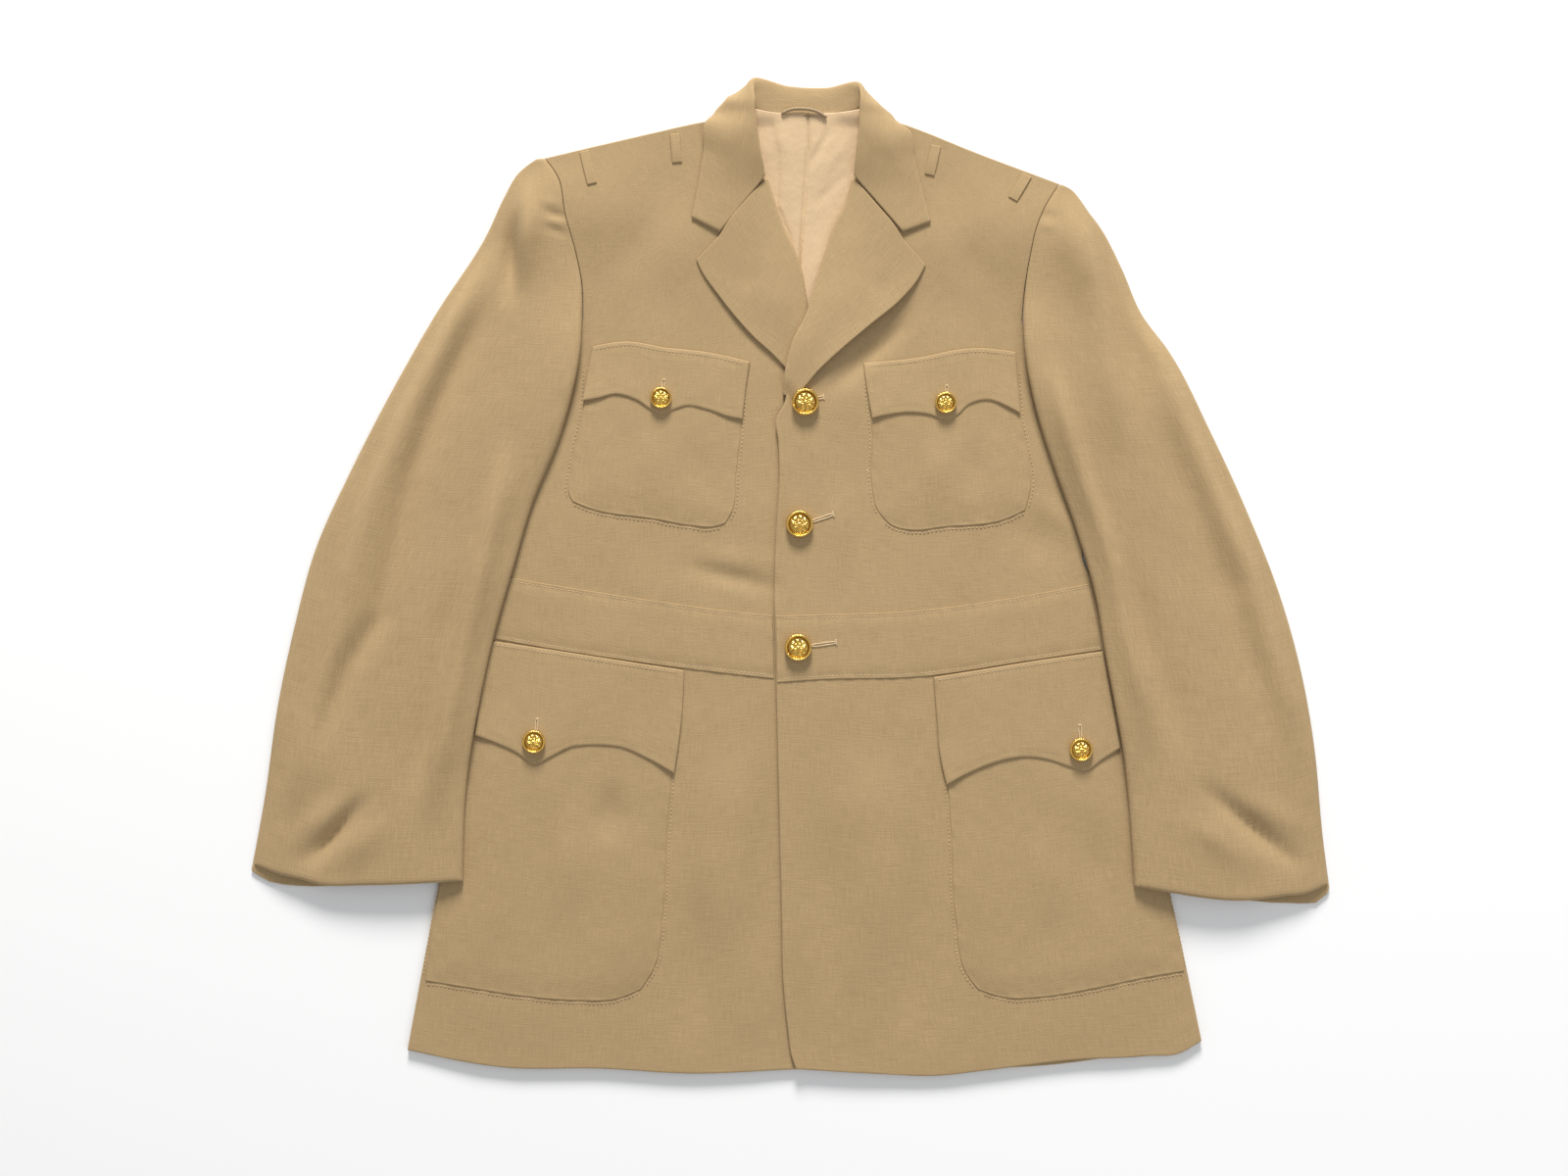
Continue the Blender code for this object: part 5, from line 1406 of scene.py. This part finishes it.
class JACKET_OT_body(bpy.types.Operator):
    """Builds the back, the lining and the two fronts"""
    bl_idname = "jacket.body"
    bl_label = "Build body"

    def execute(self, context):
        make_back()
        make_lining()
        make_front("right")
        make_front("left")
        return {"FINISHED"}


class JACKET_OT_collar(bpy.types.Operator):
    """Builds the lapels and the collar"""
    bl_idname = "jacket.collar"
    bl_label = "Build lapels and collar"

    def execute(self, context):
        make_lapel("right")
        make_lapel("left")
        make_collar()
        return {"FINISHED"}


class JACKET_OT_pockets(bpy.types.Operator):
    """Builds the pockets, their flaps and the belt"""
    bl_idname = "jacket.pockets"
    bl_label = "Build pockets and belt"

    def execute(self, context):
        for side in ("right", "left"):
            make_pocket("chest_pocket_" + side, CHEST_POCKET[side], side, 0.8)
            make_pocket("skirt_pocket_" + side, SKIRT_POCKET[side], side, 0.9)
            make_belt(side)
        make_flap("chest_flap_right", CHEST_FLAP["right"], "right", 0.8, -1)
        make_flap("chest_flap_left", CHEST_FLAP["left"], "left", 0.9, 1)
        make_flap("skirt_flap_right", SKIRT_FLAP["right"], "right", 1.0, -1)
        make_flap("skirt_flap_left", SKIRT_FLAP["left"], "left", 1.1, 1)
        return {"FINISHED"}


class JACKET_OT_sleeves(bpy.types.Operator):
    """Builds both sleeves"""
    bl_idname = "jacket.sleeves"
    bl_label = "Build sleeves"

    def execute(self, context):
        make_sleeve("right")
        make_sleeve("left")
        return {"FINISHED"}


class JACKET_OT_trim(bpy.types.Operator):
    """Builds the shoulder loops, hanger loop, buttonholes and stitching"""
    bl_idname = "jacket.trim"
    bl_label = "Build trim"

    def execute(self, context):
        make_shoulder_loops()
        make_hanger_loop()
        for slit in BUTTONHOLES:
            make_buttonhole(slit)
        make_stitching()
        return {"FINISHED"}


class JACKET_OT_buttons(bpy.types.Operator):
    """Builds the seven gilt buttons"""
    bl_idname = "jacket.buttons"
    bl_label = "Build buttons"

    def execute(self, context):
        make_buttons()
        return {"FINISHED"}


class JACKET_OT_stage(bpy.types.Operator):
    """Builds the floor, the lights and the camera"""
    bl_idname = "jacket.stage"
    bl_label = "Build stage"

    def execute(self, context):
        make_stage()
        return {"FINISHED"}


class JACKET_PT_panel(bpy.types.Panel):
    """Sizes, colours and steps of the jacket"""
    bl_label = "Jacket"
    bl_idname = "JACKET_PT_panel"
    bl_space_type = "VIEW_3D"
    bl_region_type = "UI"
    bl_category = "Jacket"

    def draw(self, context):
        for group in (context.scene.jacket_sizes, context.scene.jacket_colours):
            for name in type(group).__annotations__:
                self.layout.prop(group, name)
        for step in STEPS:
            self.layout.operator(step.bl_idname)


STEPS = (JACKET_OT_body, JACKET_OT_collar, JACKET_OT_pockets, JACKET_OT_sleeves, JACKET_OT_trim,
         JACKET_OT_buttons, JACKET_OT_stage)
CLASSES = (JacketSizes, JacketColours, *STEPS, JACKET_PT_panel)


def register():
    for item in CLASSES:
        bpy.utils.register_class(item)
    bpy.types.Scene.jacket_sizes = bpy.props.PointerProperty(type=JacketSizes)
    bpy.types.Scene.jacket_colours = bpy.props.PointerProperty(type=JacketColours)


def unregister():
    del bpy.types.Scene.jacket_colours
    del bpy.types.Scene.jacket_sizes
    for item in reversed(CLASSES):
        bpy.utils.unregister_class(item)


def main():
    register()
    bpy.ops.jacket.body()
    bpy.ops.jacket.collar()
    bpy.ops.jacket.pockets()
    bpy.ops.jacket.sleeves()
    bpy.ops.jacket.trim()
    bpy.ops.jacket.buttons()
    bpy.ops.jacket.stage()


if __name__ == "__main__":
    main()
